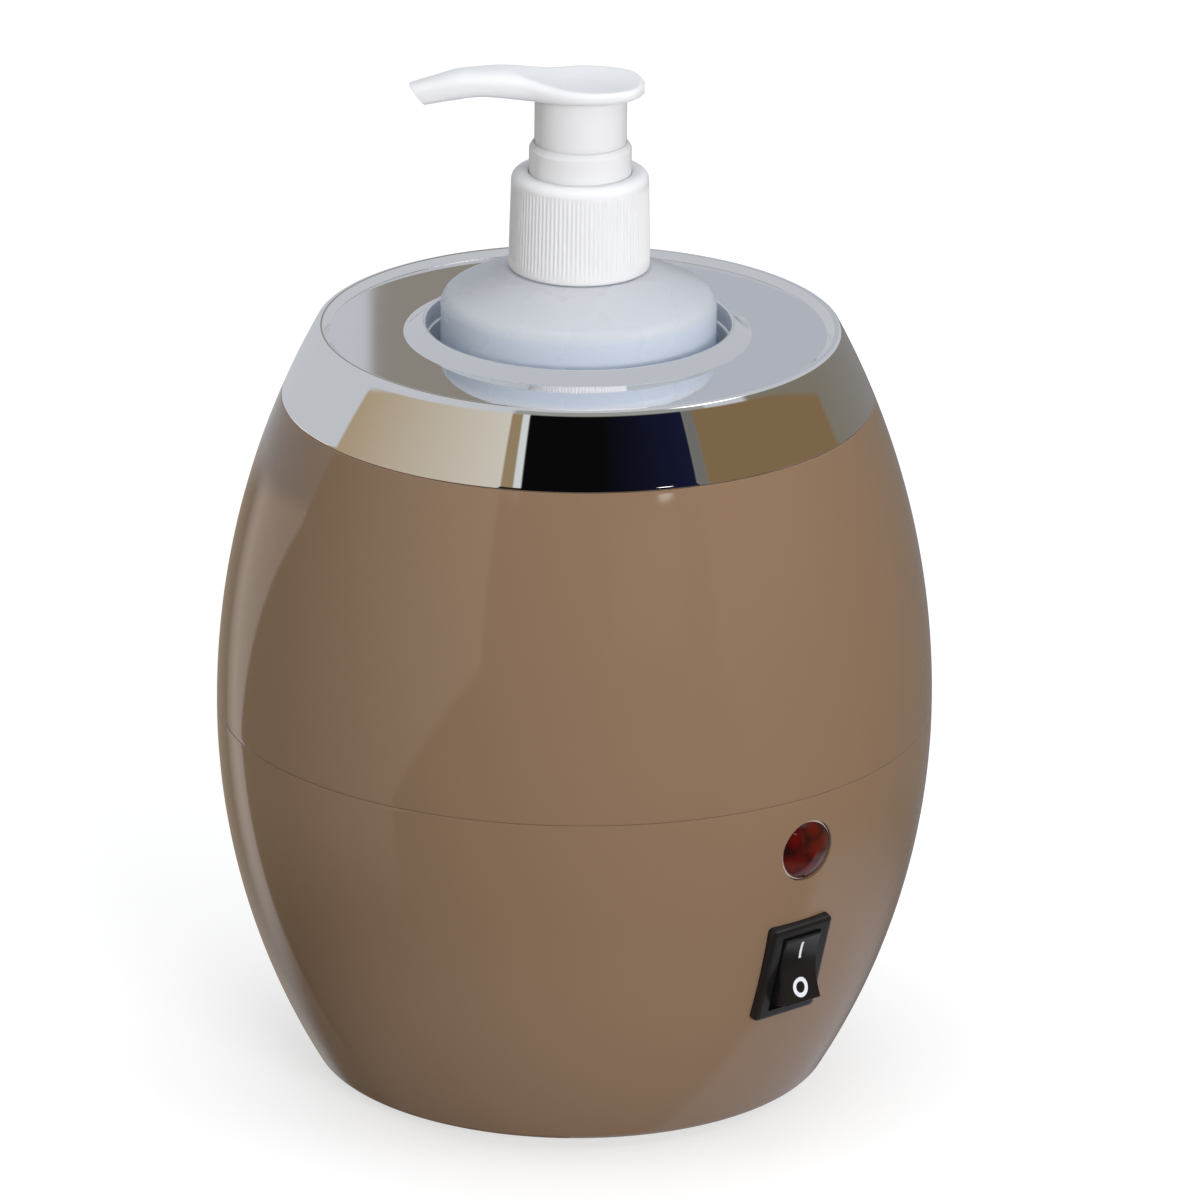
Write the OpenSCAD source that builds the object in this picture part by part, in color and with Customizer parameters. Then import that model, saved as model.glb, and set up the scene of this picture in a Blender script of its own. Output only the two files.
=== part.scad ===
// Oil warmer: a heated well in a two-part barrel body, with a pump bottle standing in it.
// Millimetres, +Z up, the origin on the table under the middle of the base.
// The switch and the lamp face -Y, and the cord gland faces +Y.

/* [Body] */
// Widest diameter of the body, at the parting line
belly_d = 140; // [134:1:160]
// Height of the parting line above the table
belly_z = 75.4; // [72:0.2:80]
// Radius of the long arc from the parting line up to the rim
upper_arc = 162.5; // [155:0.5:260]
// Radius of the long arc from the parting line down to the base
lower_arc = 142.5; // [136:0.5:260]
// Wall of both shells
shell_wall = 2.5; // [2:0.1:3]
// Radius that rounds the lower edge of the body
base_round = 3; // [1:0.5:4]
// Height of the lip that locates the shells on each other
lip_h = 4; // [2:0.5:6]
// Thickness of that lip
lip_t = 1.4; // [1:0.1:2]

/* [Chrome ring and top plate] */
// Height of the rim
rim_z = 152.1; // [150:0.1:158]
// Height of the chrome ring, from its lower edge to the rim
ring_h = 14.2; // [11:0.1:22]
// Thickness of the chrome ring
ring_t = 2; // [1.5:0.1:2.5]
// Width of the rim's flat lip
rim_w = 0.85; // [0.5:0.05:2]
// Radius that rounds the outer edge of the rim
rim_round = 0.8; // [0.4:0.1:1]
// Width of the slope from the rim's lip down to the plate
rim_slope = 1.4; // [0.6:0.1:2]
// Depth of the top plate below the rim
plate_sink = 1.2; // [0.8:0.1:2]
// Thickness of the top plate
plate_t = 1.5; // [1:0.1:2]
// How far the top plate reaches under the chrome ring
plate_tuck = 0.7; // [0.4:0.1:1]
// Height of the collar above the plate
collar_h = 2.3; // [1:0.1:4]
// Width of the collar's slope
collar_w = 3.1; // [2:0.1:5]
// Width of the collar's upper edge
collar_edge = 0.7; // [0.4:0.1:1.2]
// Thickness of the upper shell's deck under the plate
deck_t = 4; // [3:0.1:6]

/* [Heating cup] */
// Gap between the bottle and the cup's wall
well_gap = 2.5; // [1.5:0.1:4]
// Wall of the cup
cup_wall = 1.3; // [1:0.1:2]
// Height of the cup's floor, where the bottle stands
cup_floor_z = 31.5; // [30:0.5:36]
// Thickness of the cup's floor
cup_floor_t = 3; // [2.6:0.1:4]
// Thickness of the cup's flange
cup_flange_t = 1.5; // [1.2:0.1:2]
// Width of the cup's flange
cup_flange_w = 6.2; // [6.1:0.1:9]
// Thickness of the heater band
heater_t = 1.75; // [1:0.05:3]
// Height of the heater band
heater_h = 60; // [40:1:70]
// Height of the heater band's lower edge
heater_z = 50; // [46:1:60]

/* [Base] */
// Height of the rubber feet
foot_h = 2.2; // [1:0.1:3]
// Diameter of a rubber foot
foot_d = 11; // [8:0.5:13]
// Distance of the feet's middles from the edge of the base plate
foot_inset = 11; // [8:0.5:16]
// Diameter of a foot's stud
foot_stud_d = 4; // [3:0.1:5]
// Thickness of the base plate
base_t = 2.5; // [2.4:0.1:4]
// Width of the lower shell's flat rim round the base plate
base_rim_w = 3.6; // [2:0.1:6]
// Width of the ledge that the base plate seats on
ledge_w = 3.6; // [2:0.1:5]
// Distance of the base screws from the edge of the base plate
base_screw_inset = 6.5; // [5.5:0.1:9]

/* [Switch] */
// Height of the middle of the switch
switch_z = 39; // [36:0.5:42]
// Width of the switch frame
switch_w = 15; // [14.8:0.1:17]
// Length of the switch frame
switch_h = 21; // [20.8:0.1:24]
// Thickness of the switch frame
switch_frame_t = 2; // [1.5:0.1:2.5]
// Width of the switch body behind the frame
switch_body_w = 13; // [12.8:0.1:14]
// Length of the switch body behind the frame
switch_body_h = 19; // [18.8:0.1:20]
// Depth of the switch body behind the frame
switch_body_t = 14; // [12:0.5:16]
// Width of the rocker
rocker_w = 9; // [8:0.1:10]
// Half of the angle between the rocker's two positions
rocker_tilt = 15; // [10:0.5:16]
// Diameter of the rocker's trunnions
trunnion_d = 2; // [1.5:0.1:2.5]
// Length of a switch terminal blade
blade_l = 7; // [4:0.5:8]

/* [Lamp] */
// Height of the middle of the lamp
lamp_z = 64.3; // [61:0.1:66]
// Diameter of the lamp's bezel
lamp_d = 12.2; // [12:0.1:14]
// Thickness of the lamp's bezel
lamp_bezel_t = 0.8; // [0.6:0.1:1.2]
// Diameter of the lamp's tube
lamp_tube_d = 10; // [9.5:0.1:11]
// Length of the lamp's tube behind the bezel
lamp_tube_l = 12; // [10:0.5:14]
// Diameter of the red lens
lens_d = 11.5; // [10.5:0.1:11.8]
// Height of the lens above the bezel
lens_h = 2.3; // [1:0.1:5]

/* [Cord gland] */
// Height of the middle of the gland
gland_z = 17; // [16:0.5:22]
// Diameter of the bore that a cord passes through
gland_bore_d = 6.4; // [5:0.1:7]
// Diameter of the gland's tube
gland_tube_d = 9.6; // [9:0.1:11]
// Diameter of the gland's flange
gland_d = 14; // [13:0.5:16]
// Thickness of the gland's flange
gland_t = 2; // [1:0.1:3]
// Length of the gland's tube behind the flange
gland_l = 9; // [8:0.5:11]

/* [Bottle] */
// Diameter of the bottle
bottle_d = 53.4; // [48:0.1:56]
// Height of the bottle's straight side
bottle_h = 123.8; // [118:0.1:130]
// Wall of the bottle
bottle_wall = 1; // [0.8:0.1:1.5]
// Radius that rounds the shoulder
shoulder_round = 5; // [3:0.5:7]
// Slope of the shoulder, in degrees
shoulder_slope = 25; // [15:1:30]
// Diameter of the flat at the foot of the neck
neck_flat_d = 28.4; // [27.8:0.1:32]
// Diameter of the neck
neck_d = 21.5; // [20.6:0.1:22]
// Diameter of the neck's bore
neck_bore_d = 17; // [16:0.1:18]
// Height of the neck above its flat
neck_h = 14.5; // [12:0.1:18]

/* [Closure] */
// Diameter of the closure at its lower edge
closure_d = 27.4; // [26.6:0.1:30]
// Narrowing of the closure from its lower edge to its top
closure_taper = 0.8; // [0:0.1:1.4]
// Thickness of the closure's top
closure_top_t = 2.3; // [1.5:0.1:3]
// Radius that rounds the closure's upper edge
closure_round = 1.8; // [0.5:0.1:2]
// Gap between the closure and the bottle's shoulder
closure_gap = 0.5; // [0.3:0.1:1]
// Number of ribs round the closure
closure_ribs = 98; // [40:1:120]
// Depth of a rib
rib_h = 0.2; // [0.1:0.05:0.5]

/* [Pump] */
// Thickness of the neck gasket
gasket_t = 1; // [0.6:0.1:1.5]
// Thickness of the pump housing's flange
flange_t = 1.5; // [1:0.1:2]
// Outer diameter of the pump housing
cylinder_d = 14; // [12.5:0.1:15]
// Wall of the pump housing
cylinder_wall = 1; // [0.8:0.1:1.4]
// Length of the pump housing below its flange
cylinder_l = 40.4; // [36:0.1:48]
// Diameter of the pump collar
chaplet_d = 19.8; // [19.2:0.1:20.2]
// Height of the pump collar above the pump housing's flange
chaplet_h = 8.2; // [7.4:0.1:9]
// Height of the chamfer at the top of the pump collar
chaplet_chamfer = 0.8; // [0.3:0.1:0.8]
// Thickness of the pump collar's floor
chaplet_floor = 1; // [0.8:0.1:1.5]
// Stroke of the pump
stroke = 6.5; // [4:0.1:6.5]
// Diameter of the pump stem
stem_d = 5.2; // [4.5:0.1:6]
// Diameter of the channel in the stem
stem_bore_d = 2.4; // [1.5:0.1:3]
// Height of the piston
piston_h = 6; // [4:0.5:8]
// Diameter of the inlet ball
ball_d = 4.8; // [4.4:0.1:5]
// Lift of the inlet ball off its seat
ball_lift = 1.5; // [0.8:0.1:2]
// Outer diameter of the dip tube
tube_d = 5; // [4:0.1:5.6]
// Wall of the dip tube
tube_wall = 0.8; // [0.5:0.1:1]
// Gap between the dip tube and the bottle's floor
tube_gap = 2; // [1:0.5:6]
// Number of turns of the pump spring
spring_turns = 7; // [5:1:9]
// Diameter of the spring wire
spring_wire = 0.9; // [0.6:0.1:1.2]

/* [Pump head] */
// Diameter of the head's skirt
skirt_d = 17.8; // [17:0.1:18]
// Wall of the skirt
skirt_wall = 1.3; // [1:0.1:2]
// Visible height of the skirt between the pump collar and the pad, with the pump up
skirt_show = 7.3; // [7:0.1:10]
// Length of the skirt inside the pump collar, with the pump up
skirt_hold = 0.4; // [0.2:0.1:0.5]
// Height of the pad's rim above its underside
pad_h = 6.4; // [6.2:0.1:7]
// Depth of the dish in the pad
dish_depth = 2.1; // [1:0.1:2.3]
// Radius of the ball that cuts the dish
dish_r = 48; // [40:1:60]
// Turn of the spout about the bottle's axis, in degrees
spout_turn = 139.6; // [0:0.1:360]
// Diameter of the channel in the spout
spout_bore_d = 2.6; // [1.5:0.1:2.8]

/* [Clearances] */
// Radial gap of pieces that fit into each other
fit_gap = 0.1; // [0.05:0.01:0.15]
// Radial gap of a trunnion in its hole
pin_gap = 0.06; // [0.04:0.01:0.1]
// Gap between pieces that move past each other
move_gap = 0.3; // [0.2:0.05:0.4]
// Radial gap of a screw in its pilot hole
screw_gap = 0.05; // [0.03:0.01:0.1]

/* [Hidden] */
$fn = 96;

// Profile of the body
belly_r = belly_d / 2;
arc_steps = 20;
function arc_r(z, arc, inset) = belly_r - arc + sqrt(pow(arc - inset, 2) - pow(z - belly_z, 2));
function body_r(z) = arc_r(z, z > belly_z ? upper_arc : lower_arc, 0);
function body_line(z0, z1, inset) =
    [for (i = [0:arc_steps]) let (z = z0 + (z1 - z0) * i / arc_steps) [body_r(z) - inset, z]];
function corner(centre, r, a0, a1, steps = 8) =
    [for (i = [0:steps]) let (a = a0 + (a1 - a0) * i / steps) centre + r * [cos(a), sin(a)]];
function lean(z) = asin((belly_z - z) / lower_arc);
function sag(half_w, half_h, z) = half_w * half_w / (2 * body_r(z)) + half_h * half_h / (2 * lower_arc);
seat_slack = 0.05;

// Heights of the base
seat_z = foot_h + base_t;
ledge_t = 2.5;
ledge_top = seat_z + ledge_t;
base_round_z = foot_h + base_round;
base_round_r = arc_r(base_round_z, lower_arc, base_round);
base_round_end = asin((belly_z - base_round_z) / (lower_arc - base_round));
base_open_r = base_round_r - base_rim_w;
ledge_r = base_open_r - ledge_w;
foot_place = base_open_r - foot_inset;
base_screw_place = base_open_r - base_screw_inset;

// Heights of the top
ring_z = rim_z - ring_h;
plate_top = rim_z - plate_sink;
deck_top = plate_top - plate_t;
deck_bottom = deck_top - deck_t;
flange_bottom = deck_top - cup_flange_t;
rim_round_z = rim_z - rim_round;
rim_round_r = arc_r(rim_round_z, upper_arc, rim_round);
rim_round_start = asin((rim_round_z - belly_z) / (upper_arc - rim_round));
rim_in_r = rim_round_r - rim_w - rim_slope;
plate_r = rim_in_r + plate_tuck;
neck_inset = ring_t + fit_gap;
neck_wall = 2.2;
neck_blend = 4;

// The heated well
bottle_r = bottle_d / 2;
cup_r = bottle_r + well_gap;
cup_out_r = cup_r + cup_wall;
cup_bottom = cup_floor_z - cup_floor_t;
cup_flange_r = cup_out_r + cup_flange_w;
collar_bore_r = cup_r + 0.4;
collar_top_r = collar_bore_r + collar_edge;
heater_r = cup_out_r + fit_gap;
heater_out_r = heater_r + heater_t;
heater_slit = 3;
heater_lug_t = 1.5;
heater_lug_l = 8;
heater_lug_h = 14;
heater_lug_z = heater_z + heater_h / 2;

// Screws: shank radius, head radius and head height
small_shank = 1.2;
small_head = 2.3;
small_head_h = 1.4;
large_shank = 1.5;
large_head = 2.9;
large_head_h = 1.6;
slot_w = 0.6;
slot_depth = 0.7;

// Screw places
base_screw_angles = [0, 90, 180, 270];
base_screw_l = 10;
base_boss_r = 3.4;
base_boss_h = base_screw_l + 1;
base_rib_t = 3;
foot_angles = [45, 135, 225, 315];
shell_screw_angles = [90, 210, 330];
shell_screw_inset = 10.4;
shell_screw_place = belly_r - shell_screw_inset;
shell_tab_t = 5;
shell_tab_w = 9;
shell_boss_r = 3.8;
shell_boss_h = 13;
shell_screw_l = shell_tab_t + 9;
plate_screw_angles = [30, 150, 270];
plate_boss_r = 2.3;
plate_boss_wall = 0.8;
plate_screw_place = cup_flange_r + plate_boss_wall + plate_boss_r;
plate_boss_h = deck_t - 0.5;
plate_screw_l = deck_t;
plate_washer_r = plate_boss_r + 0.6;
cup_screw_angles = [90, 210, 330];
cup_screw_place = cup_out_r + 3.2;
cup_screw_l = 6;
cup_screw_head_h = 1.1;
cup_boss_r = 2.6;
cup_boss_l = 4;

// Parts under the cup
thermostat_x = -11;
thermostat_r = 8;
thermostat_cap_h = 3;
thermostat_tab_t = 1;
thermostat_tab_l = 27;
thermostat_tab_w = 8;
thermostat_body_r = 7.5;
thermostat_body_h = 6;
thermostat_screw_place = 10.5;
thermostat_blade = [6.3, 0.8, 7];
thermostat_blade_place = 4;
thermostat_tab_z = cup_bottom - thermostat_cap_h - thermostat_tab_t;
boss_under_r = 2.6;
under_hole = cup_floor_t - 0.8;
fuse_x = 12;
fuse_r = 2;
fuse_l = 11;
fuse_lead_r = 0.5;
fuse_lead_l = 7;
clip_t = 0.8;
clip_w = 6;
clip_reach = 8.5;
clip_hole_place = 5.6;
clip_out_r = fuse_r + fit_gap + clip_t;
fuse_z = cup_bottom - clip_out_r;
block = [22, 12, 10];
block_gap = 4;
block_y = base_screw_place - base_boss_r - block_gap - block[1] / 2;
block_port_r = 1.5;
block_port_place = 6;
block_screw_l = 7;

// Switch, measured from the body's surface along its outward normal
switch_sink = sag(switch_w / 2, switch_h / 2, switch_z) + seat_slack;
switch_corner = 1;
switch_cavity_w = rocker_w + 2 * move_gap;
switch_cavity_h = 16.8;
switch_cavity_t = 5.6;
trunnion_r = trunnion_d / 2;
trunnion_l = 0.9;
trunnion_slack = 0.2;
rocker_pivot = 1.5;
rocker_half = 6.7;
rocker_rise = 6.2;
rocker_dip = 4.6;
rocker_skirt_half = 7.7;
rocker_skirt_z = 1.2;
rocker_foot_half = 7.3;
rocker_foot_z = -2;
blade = [4.8, 0.8];
blade_place = 5;

// Lamp, measured the same way
lamp_r = lamp_d / 2;
lamp_recess = 0.45;
lamp_sink = sag(lamp_r, 0, lamp_z) + lamp_recess + lamp_bezel_t;
lamp_tube_r = lamp_tube_d / 2;
lamp_bore_r = lamp_tube_r - 0.7;
lamp_back_t = 1.2;
lamp_lead_r = 0.8;
lamp_lead_place = 2;
lens_r = lens_d / 2;
lens_edge = 0.3;
lens_plug_r = lamp_bore_r - fit_gap;
lens_plug_l = 3;
lens_hollow_r = lens_plug_r - 0.9;
lamp_nut_r = 7.4;
lamp_nut_t = 3;
lamp_nut_z = -shell_wall - sag(lamp_nut_r, 0, lamp_z) - seat_slack;
bulb_r = 2.4;
bulb_l = lamp_tube_l - lamp_back_t - lens_plug_l;

// Cord gland, measured the same way
gland_r = gland_d / 2;
gland_sink = sag(gland_r, 0, gland_z) + seat_slack;
gland_tube_r = gland_tube_d / 2;
gland_nut_r = 7.6;
gland_nut_t = 3;
gland_nut_z = -shell_wall / cos(lean(gland_z)) - sag(gland_nut_r, 0, gland_z) - seat_slack;

// Ends of the inner wires
wire_r = 1;
lead_r = 0.7;
wire_sides = 8;
wire_gap = 0.05;
port_z = seat_z + block[2] / 2;
port_front = block_y - block[1] / 2;
port_back = block_y + block[1] / 2;
thermostat_foot = thermostat_tab_z - thermostat_body_h - thermostat_blade[2];
function on_wall(z, p) = [
    p[0],
    -body_r(z) - p[1] * sin(lean(z)) - p[2] * cos(lean(z)),
    z + p[1] * cos(lean(z)) - p[2] * sin(lean(z))
];
function blade_end(side, past) =
    on_wall(switch_z, [0, side * blade_place, past - switch_sink - switch_body_t - blade_l]);
function blade_side(out, up) =
    on_wall(switch_z, [blade[0] / 2 + out, blade_place + up, -switch_sink - switch_body_t - blade_l / 2]);
function lamp_back(side, past) = on_wall(lamp_z, [side * lamp_lead_place, 0, past - lamp_sink - lamp_tube_l]);
function heater_side(a, out, z) = let (r = heater_r + wire_r + out) [r * cos(a), r * sin(a), z];

// Heights of the bottle and the pump
bottle_z = cup_floor_z;
bottle_floor = bottle_z + 1.5 * bottle_wall;
bottle_foot_round = 2;
shoulder_z = bottle_z + bottle_h;
shoulder_r = bottle_r - shoulder_round;
neck_flat_r = neck_flat_d / 2;
slope_start_r = shoulder_r + shoulder_round * sin(shoulder_slope);
slope_start_z = shoulder_z + shoulder_round * cos(shoulder_slope);
neck_z = slope_start_z + (slope_start_r - neck_flat_r) * tan(shoulder_slope);
neck_r = neck_d / 2;
neck_top = neck_z + neck_h;
neck_bore_r = neck_bore_d / 2;
flange_z = neck_top + gasket_t;
flange_top = flange_z + flange_t;
closure_z = neck_z + closure_gap;
ledge_gap = 0.05;
closure_under = flange_top + ledge_gap;
closure_top = closure_under + closure_top_t;
closure_r = closure_d / 2;
closure_bore_r = neck_r + move_gap;
cylinder_r = cylinder_d / 2;
cylinder_bore_r = cylinder_r - cylinder_wall;
cylinder_z = flange_z - cylinder_l;
chaplet_r = chaplet_d / 2;
skirt_r = skirt_d / 2;
chaplet_top = flange_top + chaplet_h;
head_z = chaplet_top + skirt_show;
skirt_z = chaplet_top - skirt_hold;
stem_r = stem_d / 2;
stem_top = head_z + 1.4;
piston_top = flange_top - fit_gap;
piston_z = piston_top - piston_h;
stem_z = piston_z + 1;

// Inlet valve at the foot of the pump housing
ball_r = ball_d / 2;
ball_room_r = ball_r + 0.5;
seat_throat_r = 1.5;
seat_rise = 2;
spring_ledge_t = 2.8;
ball_stop_z = cylinder_z - spring_ledge_t;
seat_half_angle = atan((ball_room_r - seat_throat_r) / seat_rise);
ball_gap = 0.05;
ball_centre_rise = ((ball_r + ball_gap) / cos(seat_half_angle) - seat_throat_r) / tan(seat_half_angle);
seat_throat_z = ball_stop_z - ball_lift - ball_r - 0.2 - ball_centre_rise;
ball_z = seat_throat_z + ball_centre_rise;
tube_r = tube_d / 2;
socket_l = 10;
socket_top = seat_throat_z - 1.5;
valve_out_r = max(ball_room_r, tube_r) + 1.4;
tube_z = bottle_floor + tube_gap;

// Pump spring, between the housing's ledge and the piston
spring_gap = 0.05;
spring_z = cylinder_z + spring_gap;
spring_top = piston_z - spring_gap;
spring_r = cylinder_bore_r - spring_wire / 2 - 0.7;
spring_rings = 8;
spring_sides = 6;
spring_pitch = (spring_top - spring_z - spring_wire) / spring_turns;
echo(least_gap_between_spring_turns = spring_pitch - spring_wire);

// Sections of the pump head: distance towards the spout's tip, half width, underside and top above head_z
head_sections = [
    [-12.2, 2.4, 2.9, 4.3],
    [-11.4, 4.6, 2.5, pad_h - 1.3],
    [-10, 6.9, 2.2, pad_h - 0.6],
    [-7, 8.9, 1.8, pad_h - 0.1],
    [-3, 9.9, 1.6, pad_h],
    [0, 9.9, 1.5, pad_h],
    [3, 9.2, 1.3, pad_h - 0.1],
    [6, 7.8, 1.2, pad_h],
    [9, 6.4, 1.4, pad_h + 0.5],
    [12, 5.5, 1.5, pad_h + 0.8],
    [16, 4.9, 1.8, pad_h + 0.9],
    [20, 4.4, 1.8, pad_h + 0.6],
    [24, 3.9, 1.1, pad_h + 0.2],
    [28, 3.3, 0.3, pad_h - 1],
    [31, 2.9, -0.3, pad_h - 1.9],
    [34, 2.7, -0.9, pad_h - 2.9]
];
head_sides = 24;
head_power = 2.6;
tip_top = [32.9, 3.8];
tip_low = [29.8, -0.1];
dish_place = -3.5;
hub_r = 4;
head_join = 2.6;
channel_z = 2.3;
channel_bend = [15.5, 4.9];
channel_end = [34, 1.3];
channel_past = 1;
channel_step = 0.4;

// Shared shapes

// Places a child on the front of the lower shell, with its +Z along the outward normal
module on_front(z) {
    translate([0, -body_r(z), z]) rotate([90 + lean(z), 0, 0]) children();
}

module on_back(z) {
    rotate([0, 0, 180]) on_front(z) children();
}

module ring_of(angles, place, z) {
    for (a = angles) rotate([0, 0, a]) translate([place, 0, z]) children();
}

module lathe(points) {
    rotate_extrude() polygon(points);
}

module tube(r_out, r_in, h) {
    difference() {
        cylinder(r = r_out, h = h);
        translate([0, 0, -1]) cylinder(r = r_in, h = h + 2);
    }
}

module plate_block(w, h, t) {
    translate([-w / 2, -h / 2, 0]) cube([w, h, t]);
}

// Faces of a closed form through a row of rings, each with the same number of points
function skin(rings, sides) = concat(
    [
        for (i = [0:rings - 2], k = [0:sides - 1])
            let (a = i * sides + k, b = i * sides + (k + 1) % sides, c = a + sides, d = b + sides)
                each [[a, c, b], [b, c, d]]
    ],
    [
        for (k = [1:sides - 2], last = (rings - 1) * sides)
            each [[0, k, k + 1], [last, last + k + 1, last + k]]
    ]
);

// A rectangle with its corners cut off
module framed(w, h, cut, t) {
    x = w / 2;
    y = h / 2;
    linear_extrude(height = t) polygon([
        [x - cut, -y], [x, -y + cut], [x, y - cut], [x - cut, y],
        [-x + cut, y], [-x, y - cut], [-x, -y + cut], [-x + cut, -y]
    ]);
}

// A screw with its head below z = 0 and its shank above
module screw(shank, length, head, head_h) {
    difference() {
        union() {
            translate([0, 0, -head_h]) cylinder(r = head, h = head_h);
            cylinder(r = shank, h = length);
        }
        for (a = [0, 90]) rotate([0, 0, a])
            translate([-head * 0.6, -slot_w / 2, -head_h - 1]) cube([head * 1.2, slot_w, slot_depth + 1]);
    }
}

// Body shells

module lower_shell() {
    lip_out = belly_r - shell_wall - fit_gap;
    lip_in = lip_out - lip_t;
    lip_root = belly_z - 3;
    base_rib_end = body_r(ledge_top) - shell_wall / 2;
    color([0.55, 0.45, 0.36]) difference() {
        union() {
            lathe(concat(
                [[base_open_r, foot_h]],
                corner([base_round_r, base_round_z], base_round, -90, -base_round_end),
                body_line(base_round_z - base_round * sin(base_round_end) + 1, belly_z, 0),
                [[lip_out, belly_z], [lip_out, belly_z + lip_h]],
                [[lip_in, belly_z + lip_h], [lip_in, lip_root]],
                body_line(lip_root - lip_t, ledge_top, shell_wall),
                [[ledge_r, ledge_top], [ledge_r, seat_z], [base_open_r, seat_z]]
            ));
            ring_of(base_screw_angles, base_screw_place, seat_z) {
                cylinder(r = base_boss_r, h = base_boss_h);
                translate([0, -base_rib_t / 2, 0])
                    cube([base_rib_end - base_screw_place, base_rib_t, base_boss_h / 2]);
            }
            ring_of(shell_screw_angles, shell_screw_place, belly_z - shell_tab_t)
                translate([-shell_tab_w / 2, -shell_tab_w / 2, 0])
                    cube([shell_screw_inset + shell_tab_w / 2 - shell_wall / 2, shell_tab_w, shell_tab_t]);
        }
        ring_of(base_screw_angles, base_screw_place, seat_z - 1)
            cylinder(r = large_shank + screw_gap, h = base_screw_l - base_t + large_head_h + 2);
        ring_of(shell_screw_angles, shell_screw_place, belly_z - shell_tab_t - 1)
            cylinder(r = large_shank + fit_gap, h = shell_tab_t + 2);
        on_front(switch_z) {
            translate([0, 0, -switch_sink])
                plate_block(switch_w + 2 * fit_gap, switch_h + 2 * fit_gap, shell_wall + switch_frame_t);
            translate([0, 0, -2 * shell_wall])
                plate_block(switch_body_w + 2 * fit_gap, switch_body_h + 2 * fit_gap, 3 * shell_wall);
        }
        on_front(lamp_z) {
            translate([0, 0, -lamp_sink]) cylinder(r = lamp_r + fit_gap, h = lamp_sink + shell_wall);
            translate([0, 0, -2 * shell_wall]) cylinder(r = lamp_tube_r + fit_gap, h = 3 * shell_wall);
        }
        on_back(gland_z) {
            translate([0, 0, -gland_sink]) cylinder(r = gland_r + fit_gap, h = shell_wall);
            translate([0, 0, -3 * shell_wall]) cylinder(r = gland_tube_r + fit_gap, h = 4 * shell_wall);
        }
    }
}

module upper_shell() {
    rib_z = lip_h + move_gap;
    color([0.55, 0.45, 0.36]) difference() {
        union() {
            lathe(concat(
                body_line(belly_z, ring_z, 0),
                body_line(ring_z, deck_top, neck_inset),
                [
                    [cup_flange_r + fit_gap, deck_top], [cup_flange_r + fit_gap, flange_bottom],
                    [cup_out_r + fit_gap, flange_bottom], [cup_out_r + fit_gap, deck_bottom]
                ],
                body_line(deck_bottom, ring_z - neck_blend / 2, neck_inset + neck_wall),
                body_line(ring_z - neck_blend, belly_z, shell_wall)
            ));
            ring_of(shell_screw_angles, shell_screw_place, belly_z) {
                cylinder(r = shell_boss_r, h = shell_boss_h);
                translate([0, -base_rib_t / 2, rib_z])
                    cube([shell_screw_inset - shell_wall / 2, base_rib_t, shell_boss_h - rib_z]);
            }
            ring_of(cup_screw_angles, cup_screw_place, deck_bottom - cup_boss_l)
                cylinder(r = cup_boss_r, h = cup_boss_l + deck_t / 4);
        }
        ring_of(shell_screw_angles, shell_screw_place, belly_z - 1)
            cylinder(r = large_shank + screw_gap, h = shell_screw_l - shell_tab_t + 2);
        ring_of(plate_screw_angles, plate_screw_place, deck_bottom - 1)
            cylinder(r = plate_boss_r + fit_gap, h = deck_t + 2);
        ring_of(cup_screw_angles, cup_screw_place, deck_top - cup_screw_l - 1)
            cylinder(r = small_shank + screw_gap, h = cup_screw_l + 2);
    }
}

module chrome_ring() {
    pocket_r = plate_r + fit_gap;
    color([0.8, 0.8, 0.82]) lathe(concat(
        body_line(ring_z, rim_round_z, 0),
        corner([rim_round_r, rim_round_z], rim_round, rim_round_start, 90),
        [
            [rim_round_r - rim_w, rim_z], [rim_in_r, plate_top], [pocket_r, plate_top], [pocket_r, deck_top]
        ],
        body_line(deck_top, ring_z, ring_t)
    ));
}

module top_plate() {
    color([0.75, 0.76, 0.78]) difference() {
        union() {
            lathe([
                [collar_bore_r, deck_top], [plate_r, deck_top], [plate_r, plate_top],
                [collar_top_r + collar_w, plate_top], [collar_top_r, plate_top + collar_h],
                [collar_bore_r, plate_top + collar_h]
            ]);
            ring_of(plate_screw_angles, plate_screw_place, deck_top - plate_boss_h)
                cylinder(r = plate_boss_r, h = plate_boss_h + plate_t / 2);
        }
        ring_of(plate_screw_angles, plate_screw_place, deck_bottom)
            cylinder(r = small_shank + screw_gap, h = plate_screw_l + 0.3);
    }
}

// Heating

module heating_cup() {
    color([0.77, 0.78, 0.8]) difference() {
        union() {
            lathe([
                [0, cup_bottom], [cup_out_r, cup_bottom], [cup_out_r, flange_bottom],
                [cup_flange_r, flange_bottom], [cup_flange_r, deck_top], [cup_r, deck_top],
                [cup_r, cup_floor_z], [0, cup_floor_z]
            ]);
            thermostat_places() cylinder(r = boss_under_r, h = thermostat_cap_h);
        }
        thermostat_places() translate([0, 0, -1])
            cylinder(r = small_shank + screw_gap, h = thermostat_cap_h + under_hole + 1);
        translate([fuse_x + clip_hole_place, 0, cup_bottom - 1])
            cylinder(r = small_shank + screw_gap, h = under_hole + 1);
        ring_of(cup_screw_angles, cup_screw_place, flange_bottom - 1) {
            cylinder(r = small_shank + fit_gap, h = cup_flange_t + 2);
            translate([0, 0, 1 + cup_flange_t - cup_screw_head_h])
                cylinder(r1 = small_shank + fit_gap, r2 = small_head + fit_gap, h = cup_screw_head_h);
        }
    }
}

module thermostat_places() {
    for (side = [-1, 1])
        translate([thermostat_x, side * thermostat_screw_place, cup_bottom - thermostat_cap_h]) children();
}

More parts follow.
